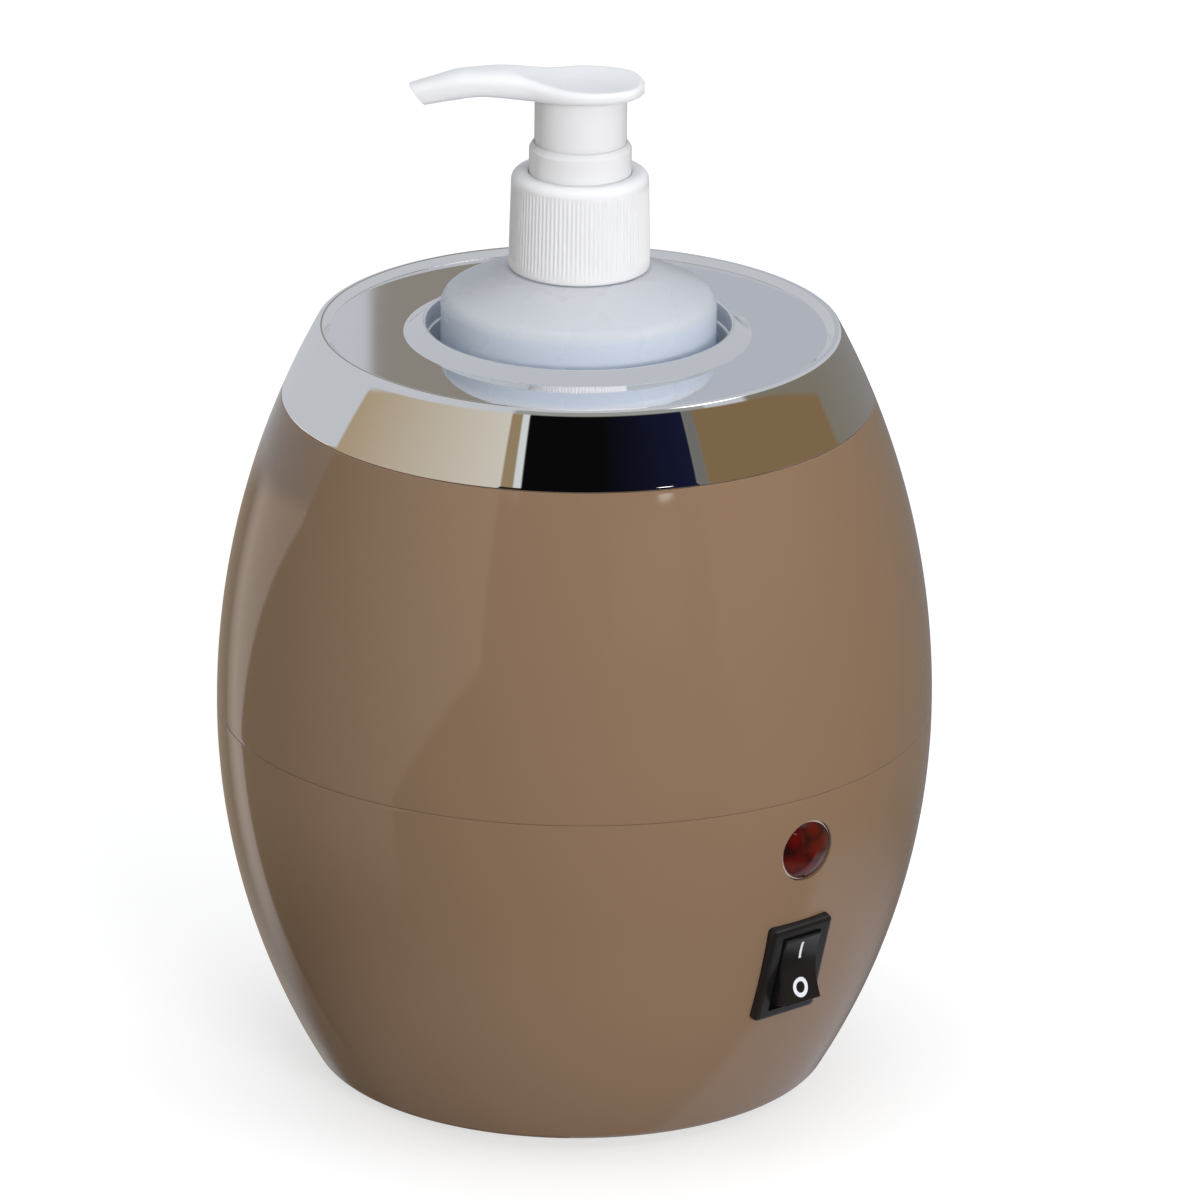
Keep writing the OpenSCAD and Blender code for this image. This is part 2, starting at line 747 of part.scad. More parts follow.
// A band heater, slit at +X where two lugs and a screw draw it tight
module heater_band() {
    color([0.72, 0.66, 0.55]) difference() {
        union() {
            translate([0, 0, heater_z]) tube(heater_out_r, heater_r, heater_h);
            for (side = [-1, 1])
                translate([
                    heater_r + heater_t / 2,
                    side * (heater_slit + heater_lug_t) / 2 - heater_lug_t / 2,
                    heater_lug_z - heater_lug_h / 2
                ])
                    cube([heater_lug_l, heater_lug_t, heater_lug_h]);
        }
        translate([0, -heater_slit / 2, heater_z - 1]) cube([cup_flange_r * 2, heater_slit, heater_h + 2]);
        translate([heater_out_r + heater_lug_l / 2, 0, heater_lug_z]) rotate([90, 0, 0])
            cylinder(r = large_shank + fit_gap, h = 4 * heater_slit, center = true);
    }
}

module band_screw() {
    color([0.7, 0.7, 0.72])
        translate([heater_out_r + heater_lug_l / 2, heater_slit / 2 + heater_lug_t, heater_lug_z])
            rotate([90, 0, 0])
                screw(large_shank, heater_slit + 2 * heater_lug_t + 3, large_head, large_head_h);
}

// A snap disc thermostat whose cap bears on the cup's floor
module thermostat() {
    color([0.35, 0.33, 0.32]) translate([thermostat_x, 0, 0]) difference() {
        union() {
            translate([0, 0, cup_bottom - thermostat_cap_h])
                cylinder(r = thermostat_r, h = thermostat_cap_h - ledge_gap);
            translate([0, 0, thermostat_tab_z])
                plate_block(thermostat_tab_w, thermostat_tab_l, thermostat_tab_t);
            translate([0, 0, thermostat_tab_z - thermostat_body_h])
                cylinder(r = thermostat_body_r, h = thermostat_body_h);
            for (side = [-1, 1])
                translate([0, side * thermostat_blade_place, thermostat_foot])
                    plate_block(thermostat_blade[0], thermostat_blade[1], thermostat_blade[2]);
        }
        for (side = [-1, 1]) {
            translate([0, side * thermostat_screw_place, thermostat_tab_z - 1])
                cylinder(r = small_shank + fit_gap, h = thermostat_tab_t + 1);
            translate([0, side * thermostat_screw_place, cup_bottom - thermostat_cap_h])
                cylinder(r = boss_under_r + fit_gap, h = thermostat_cap_h + 1);
        }
    }
}

module thermostat_screws() {
    color([0.7, 0.7, 0.72]) thermostat_places() translate([0, 0, -thermostat_tab_t])
        screw(small_shank, thermostat_tab_t + thermostat_cap_h + under_hole - 0.6, small_head, small_head_h);
}

module thermal_fuse() {
    color([0.8, 0.72, 0.5]) translate([fuse_x, 0, fuse_z]) rotate([90, 0, 0]) {
        cylinder(r = fuse_r, h = fuse_l, center = true);
        cylinder(r = fuse_lead_r, h = fuse_l + 2 * fuse_lead_l, center = true);
    }
}

// A strap clip that holds the fuse to the cup's floor
module fuse_clip() {
    color([0.75, 0.75, 0.76]) translate([fuse_x, 0, fuse_z]) difference() {
        union() {
            rotate([90, 0, 0]) cylinder(r = clip_out_r, h = clip_w, center = true);
            translate([0, -clip_w / 2, clip_out_r - clip_t]) cube([clip_reach, clip_w, clip_t]);
        }
        rotate([90, 0, 0]) cylinder(r = fuse_r + fit_gap, h = clip_w + 2, center = true);
        translate([clip_hole_place, 0, 0]) cylinder(r = small_shank + fit_gap, h = 2 * clip_out_r);
    }
}

module clip_screw() {
    color([0.7, 0.7, 0.72]) translate([fuse_x + clip_hole_place, 0, cup_bottom - clip_t])
        screw(small_shank, clip_t + under_hole - 0.4, small_head, small_head_h);
}

// Base

module base_plate() {
    color([0.16, 0.15, 0.15]) difference() {
        translate([0, 0, foot_h]) cylinder(r = base_open_r - fit_gap, h = base_t);
        ring_of(base_screw_angles, base_screw_place, foot_h - 1) screw_hole();
        translate([0, block_y, foot_h - 1]) screw_hole();
        ring_of(foot_angles, foot_place, foot_h - 1) cylinder(r = foot_stud_d / 2 + fit_gap, h = base_t + 2);
    }
}

// A through hole with a sink for a screw head, whose face is at z = 1
module screw_hole() {
    cylinder(r = large_head + fit_gap, h = large_head_h + 1);
    cylinder(r = large_shank + fit_gap, h = base_t + 2);
}

module rubber_feet() {
    color([0.1, 0.1, 0.1]) ring_of(foot_angles, foot_place, 0) {
        cylinder(r = foot_d / 2, h = foot_h);
        cylinder(r = foot_stud_d / 2, h = foot_h + base_t);
    }
}

module base_screws() {
    color([0.7, 0.7, 0.72]) ring_of(base_screw_angles, base_screw_place, foot_h + large_head_h)
        screw(large_shank, base_screw_l, large_head, large_head_h);
}

module shell_screws() {
    color([0.7, 0.7, 0.72]) ring_of(shell_screw_angles, shell_screw_place, belly_z - shell_tab_t)
        screw(large_shank, shell_screw_l, large_head, large_head_h);
}

module plate_screws() {
    color([0.7, 0.7, 0.72]) ring_of(plate_screw_angles, plate_screw_place, deck_bottom)
        screw(small_shank, plate_screw_l, plate_washer_r, small_head_h);
}

// Countersunk screws, flush with the cup's flange
module cup_screws() {
    color([0.7, 0.7, 0.72]) ring_of(cup_screw_angles, cup_screw_place, deck_top - cup_screw_l) {
        cylinder(r = small_shank, h = cup_screw_l - cup_screw_head_h / 2);
        translate([0, 0, cup_screw_l - cup_screw_head_h])
            cylinder(r1 = small_shank, r2 = small_head, h = cup_screw_head_h);
    }
}

// Rocker switch

module switch_housing() {
    color([0.07, 0.07, 0.08]) on_front(switch_z) translate([0, 0, -switch_sink]) difference() {
        union() {
            framed(switch_w, switch_h, switch_corner, switch_frame_t);
            translate([0, 0, -switch_body_t]) plate_block(switch_body_w, switch_body_h, switch_body_t + 1);
        }
        translate([0, 0, -switch_cavity_t])
            plate_block(switch_cavity_w, switch_cavity_h, switch_cavity_t + switch_frame_t + 1);
        translate([0, 0, -rocker_pivot]) rotate([0, 90, 0])
            cylinder(r = trunnion_r + pin_gap, h = rocker_w + 2 * (trunnion_l + trunnion_slack),
                center = true);
    }
}

module switch_terminals() {
    color([0.8, 0.7, 0.4]) on_front(switch_z) for (side = [-1, 1])
        translate([0, side * blade_place, -switch_sink - switch_body_t - blade_l])
            plate_block(blade[0], blade[1], blade_l);
}

// The rocker rests with its upper end pressed in
module switch_rocker() {
    color([0.08, 0.08, 0.09]) on_front(switch_z) translate([0, 0, -switch_sink - rocker_pivot])
        rotate([-rocker_tilt, 0, 0]) {
            rotate([90, 0, 90]) linear_extrude(height = rocker_w, center = true) polygon([
                [rocker_foot_half, rocker_foot_z], [rocker_skirt_half, rocker_skirt_z],
                [rocker_half, rocker_rise], [0, rocker_dip], [-rocker_half, rocker_rise],
                [-rocker_skirt_half, rocker_skirt_z], [-rocker_foot_half, rocker_foot_z]
            ]);
            rotate([0, 90, 0]) cylinder(r = trunnion_r, h = rocker_w + 2 * trunnion_l, center = true);
        }
}

// Lamp

module lamp_bezel() {
    color([0.85, 0.8, 0.78]) on_front(lamp_z) translate([0, 0, -lamp_sink]) difference() {
        union() {
            cylinder(r = lamp_r, h = lamp_bezel_t);
            translate([0, 0, -lamp_tube_l]) cylinder(r = lamp_tube_r, h = lamp_tube_l + lamp_bezel_t / 2);
        }
        translate([0, 0, lamp_back_t - lamp_tube_l])
            cylinder(r = lamp_bore_r, h = lamp_tube_l + lamp_bezel_t);
        for (side = [-1, 1])
            translate([side * lamp_lead_place, 0, -lamp_tube_l - 1])
                cylinder(r = lamp_lead_r, h = lamp_back_t + 2);
    }
}

module lamp_lens() {
    dome_h = lens_h - lens_edge;
    dome_r = (lens_r * lens_r + dome_h * dome_h) / (2 * dome_h);
    dome_start = asin((dome_r - dome_h) / dome_r);
    color([0.6, 0.05, 0.05, 0.8]) on_front(lamp_z) translate([0, 0, lamp_bezel_t - lamp_sink]) lathe(concat(
        [[lens_hollow_r, -lens_plug_l], [lens_plug_r, -lens_plug_l], [lens_plug_r, 0], [lens_r, 0]],
        corner([0, lens_h - dome_r], dome_r, dome_start, 90),
        [[0, lens_edge], [lens_hollow_r, lens_edge]]
    ));
}

module lamp_nut() {
    color([0.2, 0.2, 0.2]) on_front(lamp_z) translate([0, 0, lamp_nut_z - lamp_nut_t]) difference() {
        cylinder(r = lamp_nut_r, h = lamp_nut_t, $fn = 6);
        translate([0, 0, -1]) cylinder(r = lamp_tube_r + fit_gap, h = lamp_nut_t + 2);
    }
}

module neon_bulb() {
    color([0.9, 0.6, 0.4, 0.6]) on_front(lamp_z) translate([0, 0, lamp_back_t - lamp_tube_l - lamp_sink]) {
        cylinder(r = bulb_r, h = bulb_l - bulb_r);
        translate([0, 0, bulb_l - bulb_r]) sphere(r = bulb_r);
    }
}

// Cord inlet

module cord_gland() {
    color([0.12, 0.12, 0.12]) on_back(gland_z) translate([0, 0, -gland_sink]) difference() {
        union() {
            cylinder(r = gland_r, h = gland_t);
            translate([0, 0, -gland_l]) cylinder(r = gland_tube_r, h = gland_l + gland_t / 2);
        }
        translate([0, 0, -gland_l - 1]) cylinder(r = gland_bore_d / 2, h = gland_l + gland_t + 2);
    }
}

module gland_nut() {
    color([0.15, 0.15, 0.15]) on_back(gland_z) translate([0, 0, gland_nut_z - gland_nut_t]) difference() {
        cylinder(r = gland_nut_r, h = gland_nut_t, $fn = 6);
        translate([0, 0, -1]) cylinder(r = gland_tube_r + fit_gap, h = gland_nut_t + 2);
    }
}

module terminal_block() {
    color([0.9, 0.9, 0.86]) translate([0, block_y, seat_z]) difference() {
        plate_block(block[0], block[1], block[2]);
        for (side = [-1, 1])
            translate([side * block_port_place, 0, block[2] / 2]) rotate([90, 0, 0])
                cylinder(r = block_port_r, h = block[1] + 2, center = true);
        translate([0, 0, -1]) cylinder(r = large_shank + screw_gap, h = block_screw_l + 1);
    }
}

module block_screw() {
    color([0.7, 0.7, 0.72]) translate([0, block_y, foot_h + large_head_h])
        screw(large_shank, block_screw_l, large_head, large_head_h);
}

// Inner wires, each a round tube along a smooth route

function unit(v) = v / norm(v);
function between(p, q, r, t, s) =
    0.5 * (2 * q + (r - p) * s + (2 * p - 5 * q + 4 * r - t) * s * s + (3 * q - p - 3 * r + t) * s * s * s);
function smooth(route) = let (last = len(route) - 1) concat(
    [
        for (i = [0:last - 1], s = [0, 0.5])
            between(route[max(i - 1, 0)], route[i], route[i + 1], route[min(i + 2, last)], s)
    ],
    [route[last]]
);

module wire(route, r, aside) {
    line = smooth(route);
    last = len(line) - 1;
    points = [
        for (i = [0:last])
            let (run = unit(line[min(i + 1, last)] - line[max(i - 1, 0)]),
                first = unit(cross(run, aside)), second = cross(run, first))
                for (k = [0:wire_sides - 1])
                    let (a = 360 * k / wire_sides) line[i] + r * (cos(a) * first + sin(a) * second)
    ];
    polyhedron(points = points, faces = skin(last + 1, wire_sides));
}

// From the terminal block through the switch, the thermostat and the fuse to the heater, and to the lamp
module line_wires() {
    low = seat_z + 2.7;
    fuse_end = fuse_l / 2 + fuse_lead_l;
    color([0.35, 0.2, 0.12]) {
        wire([
            blade_end(-1, -wire_gap), blade_end(-1, -4), [1, -36, 37], [3, -34.5, 31], [4, -32, 23],
            [5, -26, 16], [block_port_place, -8, port_z + 1],
            [block_port_place, port_front - 8, port_z], [block_port_place, port_front + 4, port_z]
        ], wire_r, [1, 0, 0]);
        wire([
            blade_end(1, -wire_gap), blade_end(1, -4), [-3, -39, 47.5], [-8, -37, 40], [-12, -34.5, 30],
            [-14, -27, 17], [-12.5, -14, low], [thermostat_x, -7, low],
            [thermostat_x, -thermostat_blade_place, thermostat_foot - 2.4],
            [thermostat_x, -thermostat_blade_place, thermostat_foot - wire_gap]
        ], wire_r, [1, 0, 0]);
        wire([
            [thermostat_x, thermostat_blade_place, thermostat_foot - wire_gap],
            [thermostat_x, thermostat_blade_place + 0.2, thermostat_foot - 2.4],
            [-8.5, 8, low], [-2, port_front - 6.5, port_z + 1], [6, port_front - 4, port_z + 6.5],
            [fuse_x, port_front - 1.5, fuse_z - 4.6], [fuse_x, fuse_end + 3, fuse_z - 0.6],
            [fuse_x, fuse_end + wire_gap, fuse_z]
        ], wire_r, [1, 0, -1]);
        wire([
            [fuse_x, -fuse_end - wire_gap, fuse_z], [fuse_x + 1, -16, fuse_z - 0.8],
            [17, -20.5, fuse_z - 2.2], heater_side(-45, 2.6, cup_bottom - 2.5),
            heater_side(-45, 1.6, cup_bottom + 4), heater_side(-45, 0.6, heater_z - 8),
            heater_side(-45, 0, heater_z - wire_gap)
        ], wire_r, [1, 1, 0]);
        wire([
            lamp_back(1, -wire_gap), lamp_back(1, -3), [4.5, -51.5, lamp_z - 2.7], [6.5, -49.5, lamp_z - 8.7],
            blade_side(3.6, 2), blade_side(1.8, 0.2), blade_side(wire_gap, 0)
        ], lead_r, [1, 1, 1]);
    }
}

// From the heater and the lamp back to the terminal block
module neutral_wires() {
    color([0.15, 0.25, 0.5]) {
        wire([
            heater_side(135, 0, heater_z - wire_gap), heater_side(135, 0.6, heater_z - 8),
            heater_side(135, 2, cup_bottom + 2), [-22, 30, 18], [-14, port_back + 5, 11],
            [-block_port_place - 1.2, port_back + 4.5, port_z], [-block_port_place, port_back - 4, port_z]
        ], wire_r, [1, 0, 1]);
        wire([
            lamp_back(-1, -wire_gap), lamp_back(-1, -3), [-10, -48, lamp_z - 4.7], [-17, -42, lamp_z - 16.7],
            [-20, -36, 34], [-24, -28, 18], [-25, -10, 10], [-21, 5, port_z], [-13, port_front - 6.5, port_z],
            [-block_port_place - 1, port_front - 3, port_z], [-block_port_place, port_front + 3, port_z]
        ], lead_r, [0, 1, 1]);
    }
}

// Bottle, parted at the foot of the shoulder

function bottle_foot(inset, floor_z) = concat(
    [[0, floor_z]],
    corner([bottle_r - bottle_foot_round, floor_z + bottle_foot_round - inset],
        bottle_foot_round - inset, -90, 0, 4)
);
function bottle_shoulder(inset) =
    corner([shoulder_r, shoulder_z], shoulder_round - inset, 0, 90 - shoulder_slope);
function reversed(points) = [for (i = [len(points) - 1:-1:0]) points[i]];

module bottle() {
    color([0.82, 0.86, 0.9, 0.85]) lathe(concat(
        bottle_foot(0, bottle_z),
        [[bottle_r, shoulder_z], [bottle_r - bottle_wall, shoulder_z]],
        reversed(bottle_foot(bottle_wall, bottle_floor))
    ));
}

module bottle_neck() {
    color([0.82, 0.86, 0.9, 0.85]) lathe(concat(
        bottle_shoulder(0),
        [[neck_flat_r, neck_z], [neck_r, neck_z], [neck_r, neck_top], [neck_bore_r, neck_top]],
        [[neck_bore_r, neck_z - bottle_wall], [neck_flat_r - bottle_wall / 2, neck_z - bottle_wall]],
        reversed(bottle_shoulder(bottle_wall))
    ));
}

// Pump

module pump_housing() {
    room_top = ball_stop_z;
    color([0.93, 0.93, 0.92]) lathe([
        [tube_r + fit_gap, socket_top - socket_l], [valve_out_r, socket_top - socket_l],
        [valve_out_r, ball_stop_z], [cylinder_r, cylinder_z], [cylinder_r, flange_z],
        [closure_bore_r - move_gap, flange_z], [closure_bore_r - move_gap, flange_top],
        [cylinder_bore_r, flange_top], [cylinder_bore_r, cylinder_z],
        [seat_throat_r + 0.3, cylinder_z], [seat_throat_r + 0.3, room_top], [ball_room_r, room_top],
        [ball_room_r, seat_throat_z + seat_rise], [seat_throat_r, seat_throat_z],
        [seat_throat_r, socket_top], [tube_r + fit_gap, socket_top]
    ]);
}

module neck_gasket() {
    color([0.85, 0.85, 0.82]) translate([0, 0, neck_top])
        tube(neck_r, cylinder_r + fit_gap, gasket_t);
}

// The stepped ring that closes the pump housing and guides the stem
module pump_collar() {
    bore = skirt_r + fit_gap;
    color([0.96, 0.96, 0.96]) lathe([
        [stem_r + fit_gap, flange_top], [chaplet_r, flange_top], [chaplet_r, chaplet_top - chaplet_chamfer],
        [max(chaplet_r - chaplet_chamfer, bore + fit_gap), chaplet_top], [bore, chaplet_top],
        [bore, flange_top + chaplet_floor], [stem_r + fit_gap, flange_top + chaplet_floor]
    ]);
}

module dip_tube() {
    color([0.9, 0.9, 0.9]) translate([0, 0, tube_z]) tube(tube_r, tube_r - tube_wall, socket_top - tube_z);
}

module inlet_ball() {
    color([0.75, 0.75, 0.77]) translate([0, 0, ball_z]) sphere(r = ball_r);
}

// The ribs stand on a core, inside one tapered envelope
module closure() {
    top_r = closure_r - closure_taper / 2;
    round_z = closure_top - closure_round;
    step = 360 / closure_ribs;
    color([0.96, 0.96, 0.96]) difference() {
        union() {
            lathe(concat(
                [[0, closure_z], [closure_r - rib_h, closure_z]],
                corner([top_r - rib_h - closure_round, round_z], closure_round, 0, 90),
                [[0, closure_top]]
            ));
            intersection() {
                lathe(concat(
                    [[0, closure_z], [closure_r, closure_z]],
                    corner([top_r - closure_round, round_z], closure_round, 0, 90),
                    [[0, closure_top]]
                ));
                translate([0, 0, closure_z]) linear_extrude(height = round_z - closure_z) polygon([
                    for (i = [0:closure_ribs - 1], edge = [[0, 1], [0.5, 1], [0.5, 0], [1, 0]])
                        let (a = (i + edge[0]) * step, r = closure_r - rib_h * 1.6 + edge[1] * rib_h * 1.6)
                            [r * cos(a), r * sin(a)]
                ]);
            }
        }
        translate([0, 0, closure_z - 1]) cylinder(r = closure_bore_r, h = closure_under - closure_z + 1);
        cylinder(r = chaplet_r + move_gap, h = closure_top + 1);
    }
}

module pump_stem() {
    color([0.95, 0.95, 0.95]) translate([0, 0, stem_z]) tube(stem_r, stem_bore_d / 2, stem_top - stem_z);
}

module piston() {
    color([0.88, 0.9, 0.92]) translate([0, 0, piston_z]) difference() {
        cylinder(r = cylinder_bore_r - fit_gap, h = piston_h);
        translate([0, 0, stem_z - piston_z]) cylinder(r = stem_r + fit_gap / 2, h = piston_h);
        translate([0, 0, -1]) cylinder(r = stem_bore_d / 2, h = piston_h);
    }
}

// A round wire wound with an even pitch
module pump_spring() {
    rings = spring_turns * spring_rings + 1;
    slope = atan(spring_pitch / (2 * PI * spring_r));
    wire_r = spring_wire / 2;
    points = [
        for (i = [0:rings - 1], k = [0:spring_sides - 1])
            let (turn = 360 * i / spring_rings, side = 360 * k / spring_sides,
                out = spring_r + wire_r * cos(side), across = wire_r * sin(side),
                along = across * sin(slope))
                [
                    out * cos(turn) - along * sin(turn),
                    out * sin(turn) + along * cos(turn),
                    spring_z + wire_r + spring_pitch * i / spring_rings - across * cos(slope)
                ]
    ];
    color([0.7, 0.7, 0.72]) polyhedron(points = points, faces = skin(rings, spring_sides));
}

// Pad and spout as one closed form through the head sections
module head_form() {
    points = [
        for (s = head_sections, k = [0:head_sides - 1])
            let (a = 360 * k / head_sides, p = 2 / head_power,
                across = sign(cos(a)) * pow(abs(cos(a)), p), up = sign(sin(a)) * pow(abs(sin(a)), p))
                [s[0], s[1] * across, (s[2] + s[3]) / 2 + (s[3] - s[2]) / 2 * up]
    ];
    polyhedron(points = points, faces = skin(len(head_sections), head_sides));
}

// A round bar from one point to another in the plane of the spout
module channel(from, to, d, past) {
    run = to - from;
    translate([from[0], 0, from[1]]) rotate([0, 90 - atan2(run[1], run[0]), 0])
        cylinder(d = d, h = norm(run) + past);
}

module pump_head() {
    cut_angle = atan2(tip_top[1] - tip_low[1], tip_top[0] - tip_low[0]);
    cut_size = 4 * pad_h;
    color([0.97, 0.97, 0.97]) translate([0, 0, head_z]) rotate([0, 0, spout_turn]) difference() {
        union() {
            head_form();
            translate([0, 0, skirt_z - head_z]) {
                tube(skirt_r, skirt_r - skirt_wall, head_z - skirt_z + head_join);
                cylinder(r = hub_r, h = head_z - skirt_z + head_join);
            }
        }
        translate([0, 0, skirt_z - head_z - 1])
            cylinder(r = stem_r + fit_gap / 2, h = stem_top - skirt_z + 1.02);
        translate([dish_place, 0, pad_h - dish_depth + dish_r]) rotate([90, 0, 0]) sphere(r = dish_r);
        channel([0, channel_z], channel_bend, spout_bore_d + channel_step, channel_past);
        channel(channel_bend, channel_end, spout_bore_d, 0);
        translate([tip_low[0], 0, tip_low[1]]) rotate([0, -cut_angle, 0])
            translate([-cut_size, -cut_size, -2 * cut_size]) cube(2 * cut_size);
    }
}

lower_shell();
upper_shell();
chrome_ring();
top_plate();
heating_cup();
heater_band();
band_screw();
thermostat();
thermostat_screws();
thermal_fuse();
fuse_clip();
clip_screw();
base_plate();
rubber_feet();
base_screws();
shell_screws();
plate_screws();
cup_screws();
switch_housing();
switch_terminals();
switch_rocker();
lamp_bezel();
lamp_lens();
lamp_nut();
neon_bulb();
cord_gland();
gland_nut();
terminal_block();
block_screw();
line_wires();
neutral_wires();
bottle();
bottle_neck();
pump_housing();
neck_gasket();
pump_collar();
dip_tube();
inlet_ball();
closure();
pump_stem();
piston();
pump_spring();
pump_head();
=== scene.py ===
import math

import bmesh
import bpy
from mathutils import Matrix, Vector


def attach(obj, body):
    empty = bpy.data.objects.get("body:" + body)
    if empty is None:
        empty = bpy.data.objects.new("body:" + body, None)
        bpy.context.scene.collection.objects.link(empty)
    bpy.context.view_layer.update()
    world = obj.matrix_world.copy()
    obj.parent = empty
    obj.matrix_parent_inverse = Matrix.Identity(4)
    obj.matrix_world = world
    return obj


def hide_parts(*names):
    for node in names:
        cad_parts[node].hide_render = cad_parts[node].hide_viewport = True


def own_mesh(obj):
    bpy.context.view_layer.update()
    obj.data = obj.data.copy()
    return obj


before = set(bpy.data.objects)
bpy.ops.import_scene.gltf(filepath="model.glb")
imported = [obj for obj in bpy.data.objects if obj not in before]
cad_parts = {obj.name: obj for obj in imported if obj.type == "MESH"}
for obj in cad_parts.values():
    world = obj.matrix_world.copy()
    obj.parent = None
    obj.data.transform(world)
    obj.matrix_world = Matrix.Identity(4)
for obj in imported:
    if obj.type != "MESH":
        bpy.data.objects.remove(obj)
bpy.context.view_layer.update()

# Lengths below are in millimetres, and meshes are written in metres
MM = 0.001

# Counts of segments round an axis and of points along a profile, and the angle of a sharp edge in degrees
SEGMENTS = 192
FINE_SEGMENTS = 256
PUMP_SEGMENTS = 128
SMALL_SEGMENTS = 96
HUB_SEGMENTS = 64
MOUTH_SEGMENTS = 40
PROFILE_STEPS = 64
WALL_STEPS = 32
SHORT_STEPS = 12
SHARP = 30.0

# Body profile
BELLY_R = 70.0
BELLY_Z = 75.4
UPPER_ARC = 162.5
LOWER_ARC = 142.5
SHELL_WALL = 2.5
FOOT_H = 2.2
BASE_T = 2.5
BASE_ROUND = 3.0
BASE_RIM_W = 3.6
LEDGE_W = 3.6
LEDGE_H = 2.5
SEAT_Z = FOOT_H + BASE_T
LEDGE_TOP = SEAT_Z + LEDGE_H
FIT_GAP = 0.1
LIP_T = 1.4
LIP_H = 4.0
LIP_ROOT = 3.0
SEAM = 0.12
SEAM_GAP = 0.05
SEAM_STEP = 1.0
ROUND_STEP = 0.3

# Chrome ring, plate and cup
RING_Z = 137.9
RIM_Z = 152.1
RING_T = 2.0
RING_EDGE = 0.2
RING_STEP = 0.6
RIM_W = 0.85
RIM_ROUND = 0.8
RIM_STEP = 0.5
RIM_SLOPE = 1.4
RIM_CREST = 0.6
RIM_FOOT = 0.05
PLATE_TOP = 150.9
PLATE_EDGE = 0.1
PLATE_STEP = 0.3
PLATE_TUCK = 0.7
DECK_TOP = 149.4
DECK_BOTTOM = 145.4
DECK_WALL = 2.2
DECK_ROOT = 2.0
WALL_DROP = 4.0
FLANGE_BOTTOM = 147.9
COLLAR_H = 2.3
COLLAR_W = 3.1
COLLAR_EDGE = 0.7
COLLAR_STEP = 0.5
COLLAR_FOOT_ROUND = 0.9
COLLAR_ROUND = 0.4
COLLAR_BORE_R = 29.6
COLLAR_TOP_R = COLLAR_BORE_R + COLLAR_EDGE
BORE_MARGIN = 0.05
CUP_R = 29.2
CUP_OUT_R = 30.5
CUP_FLANGE_R = 36.7
CUP_FLOOR_Z = 31.5
CUP_FLOOR_T = 3.0
CUP_FOOT_ROUND = 0.5
CUP_LIP_ROUND = 0.4
CUP_FLOOR_ROUND = 1.0

# Switch, lamp and gland on the lower shell
SEAT_SLACK = 0.05
CUT_ABOVE = 5.0
HOLE_DEPTH = 6.0
SWITCH_Z = 39.0
SWITCH_W = 15.0
SWITCH_H = 21.0
SWITCH_FRAME_T = 2.0
SWITCH_ROUND = 0.9
SWITCH_BODY = (13.0, 19.0, 14.0)
SWITCH_BODY_ROUND = 0.3
SWITCH_BODY_TUCK = 0.2
SWITCH_CAVITY = (9.6, 16.8, 5.6)
SWITCH_CAVITY_ROUND = 0.4
SWITCH_CUT_ABOVE = 9.0
LAMP_Z = 64.3
LAMP_R = 6.1
LAMP_BEZEL_T = 0.8
LAMP_BEZEL_FOOT = 0.05
LAMP_BEZEL_ROUND = 0.25
LAMP_RECESS = 0.45
LAMP_TUBE_R = 5.0
LAMP_TUBE_WALL = 0.7
LAMP_TUBE_L = 12.0
LAMP_TUBE_END = 1.2
LENS_R = 5.75
LENS_H = 2.3
LENS_EDGE = 0.3
LENS_WALL = 0.9
LENS_PLUG = 3.0
GLAND_Z = 17.0
GLAND_R = 7.0
GLAND_TUBE_R = 4.8
GLAND_DEPTH = 8.0

# Rocker, in its own frame: +Y towards the upper end, +Z outwards
ROCKER_W = 9.0
ROCKER_TILT = math.radians(15)
ROCKER_PIVOT = 1.5
ROCKER_HALF = 6.7
ROCKER_RISE = 6.2
ROCKER_DIP = 4.6
ROCKER_SKIRT = (7.7, 1.2)
ROCKER_FOOT = (7.3, -2.0)
ROCKER_EDGE = 0.3
ROCKER_HOLLOW = ROCKER_RISE - ROCKER_DIP
ROCKER_HOLLOW_R = (ROCKER_HALF ** 2 + ROCKER_HOLLOW ** 2) / (2 * ROCKER_HOLLOW)
MARK_LIFT = 0.02
MARK_BAR_W = 0.6
MARK_BAR_H = 3.6
MARK_BAR_Y = 3.8
MARK_RING_R = (1.85, 1.9)
MARK_RING_Y = -3.9
MARK_STROKE = 0.8

# Bottle and closure
BOTTLE_R = 26.7
BOTTLE_Z = 31.5
BOTTLE_H = 123.8
BOTTLE_WALL = 1.0
BOTTLE_FLOOR = 1.5
BOTTLE_FOOT = 2.0
SHOULDER_ROUND = 5.0
SHOULDER_SLOPE_DEGREES = 25
SHOULDER_SLOPE = math.radians(SHOULDER_SLOPE_DEGREES)
SHOULDER_Z = BOTTLE_Z + BOTTLE_H
SHOULDER_EDGE = 3.0
EDGE_Z = SHOULDER_Z + (SHOULDER_ROUND - SHOULDER_EDGE) * math.tan((math.pi / 2 - SHOULDER_SLOPE) / 2)
SLOPE_R = BOTTLE_R - SHOULDER_ROUND + SHOULDER_ROUND * math.sin(SHOULDER_SLOPE)
SLOPE_Z = SHOULDER_Z + SHOULDER_ROUND * math.cos(SHOULDER_SLOPE)
NECK_FLAT_R = 14.2
NECK_EDGE = 0.6
NECK_R = 10.75
NECK_BORE_R = 8.5
NECK_H = 14.5
NECK_Z = SLOPE_Z + (SLOPE_R - NECK_FLAT_R) * math.tan(SHOULDER_SLOPE)
NECK_TOP = NECK_Z + NECK_H
FLANGE_TOP = NECK_TOP + 2.5
CLOSURE_Z = NECK_Z + 0.1
CLOSURE_UNDER = FLANGE_TOP + 0.05
CLOSURE_TOP = CLOSURE_UNDER + 2.3
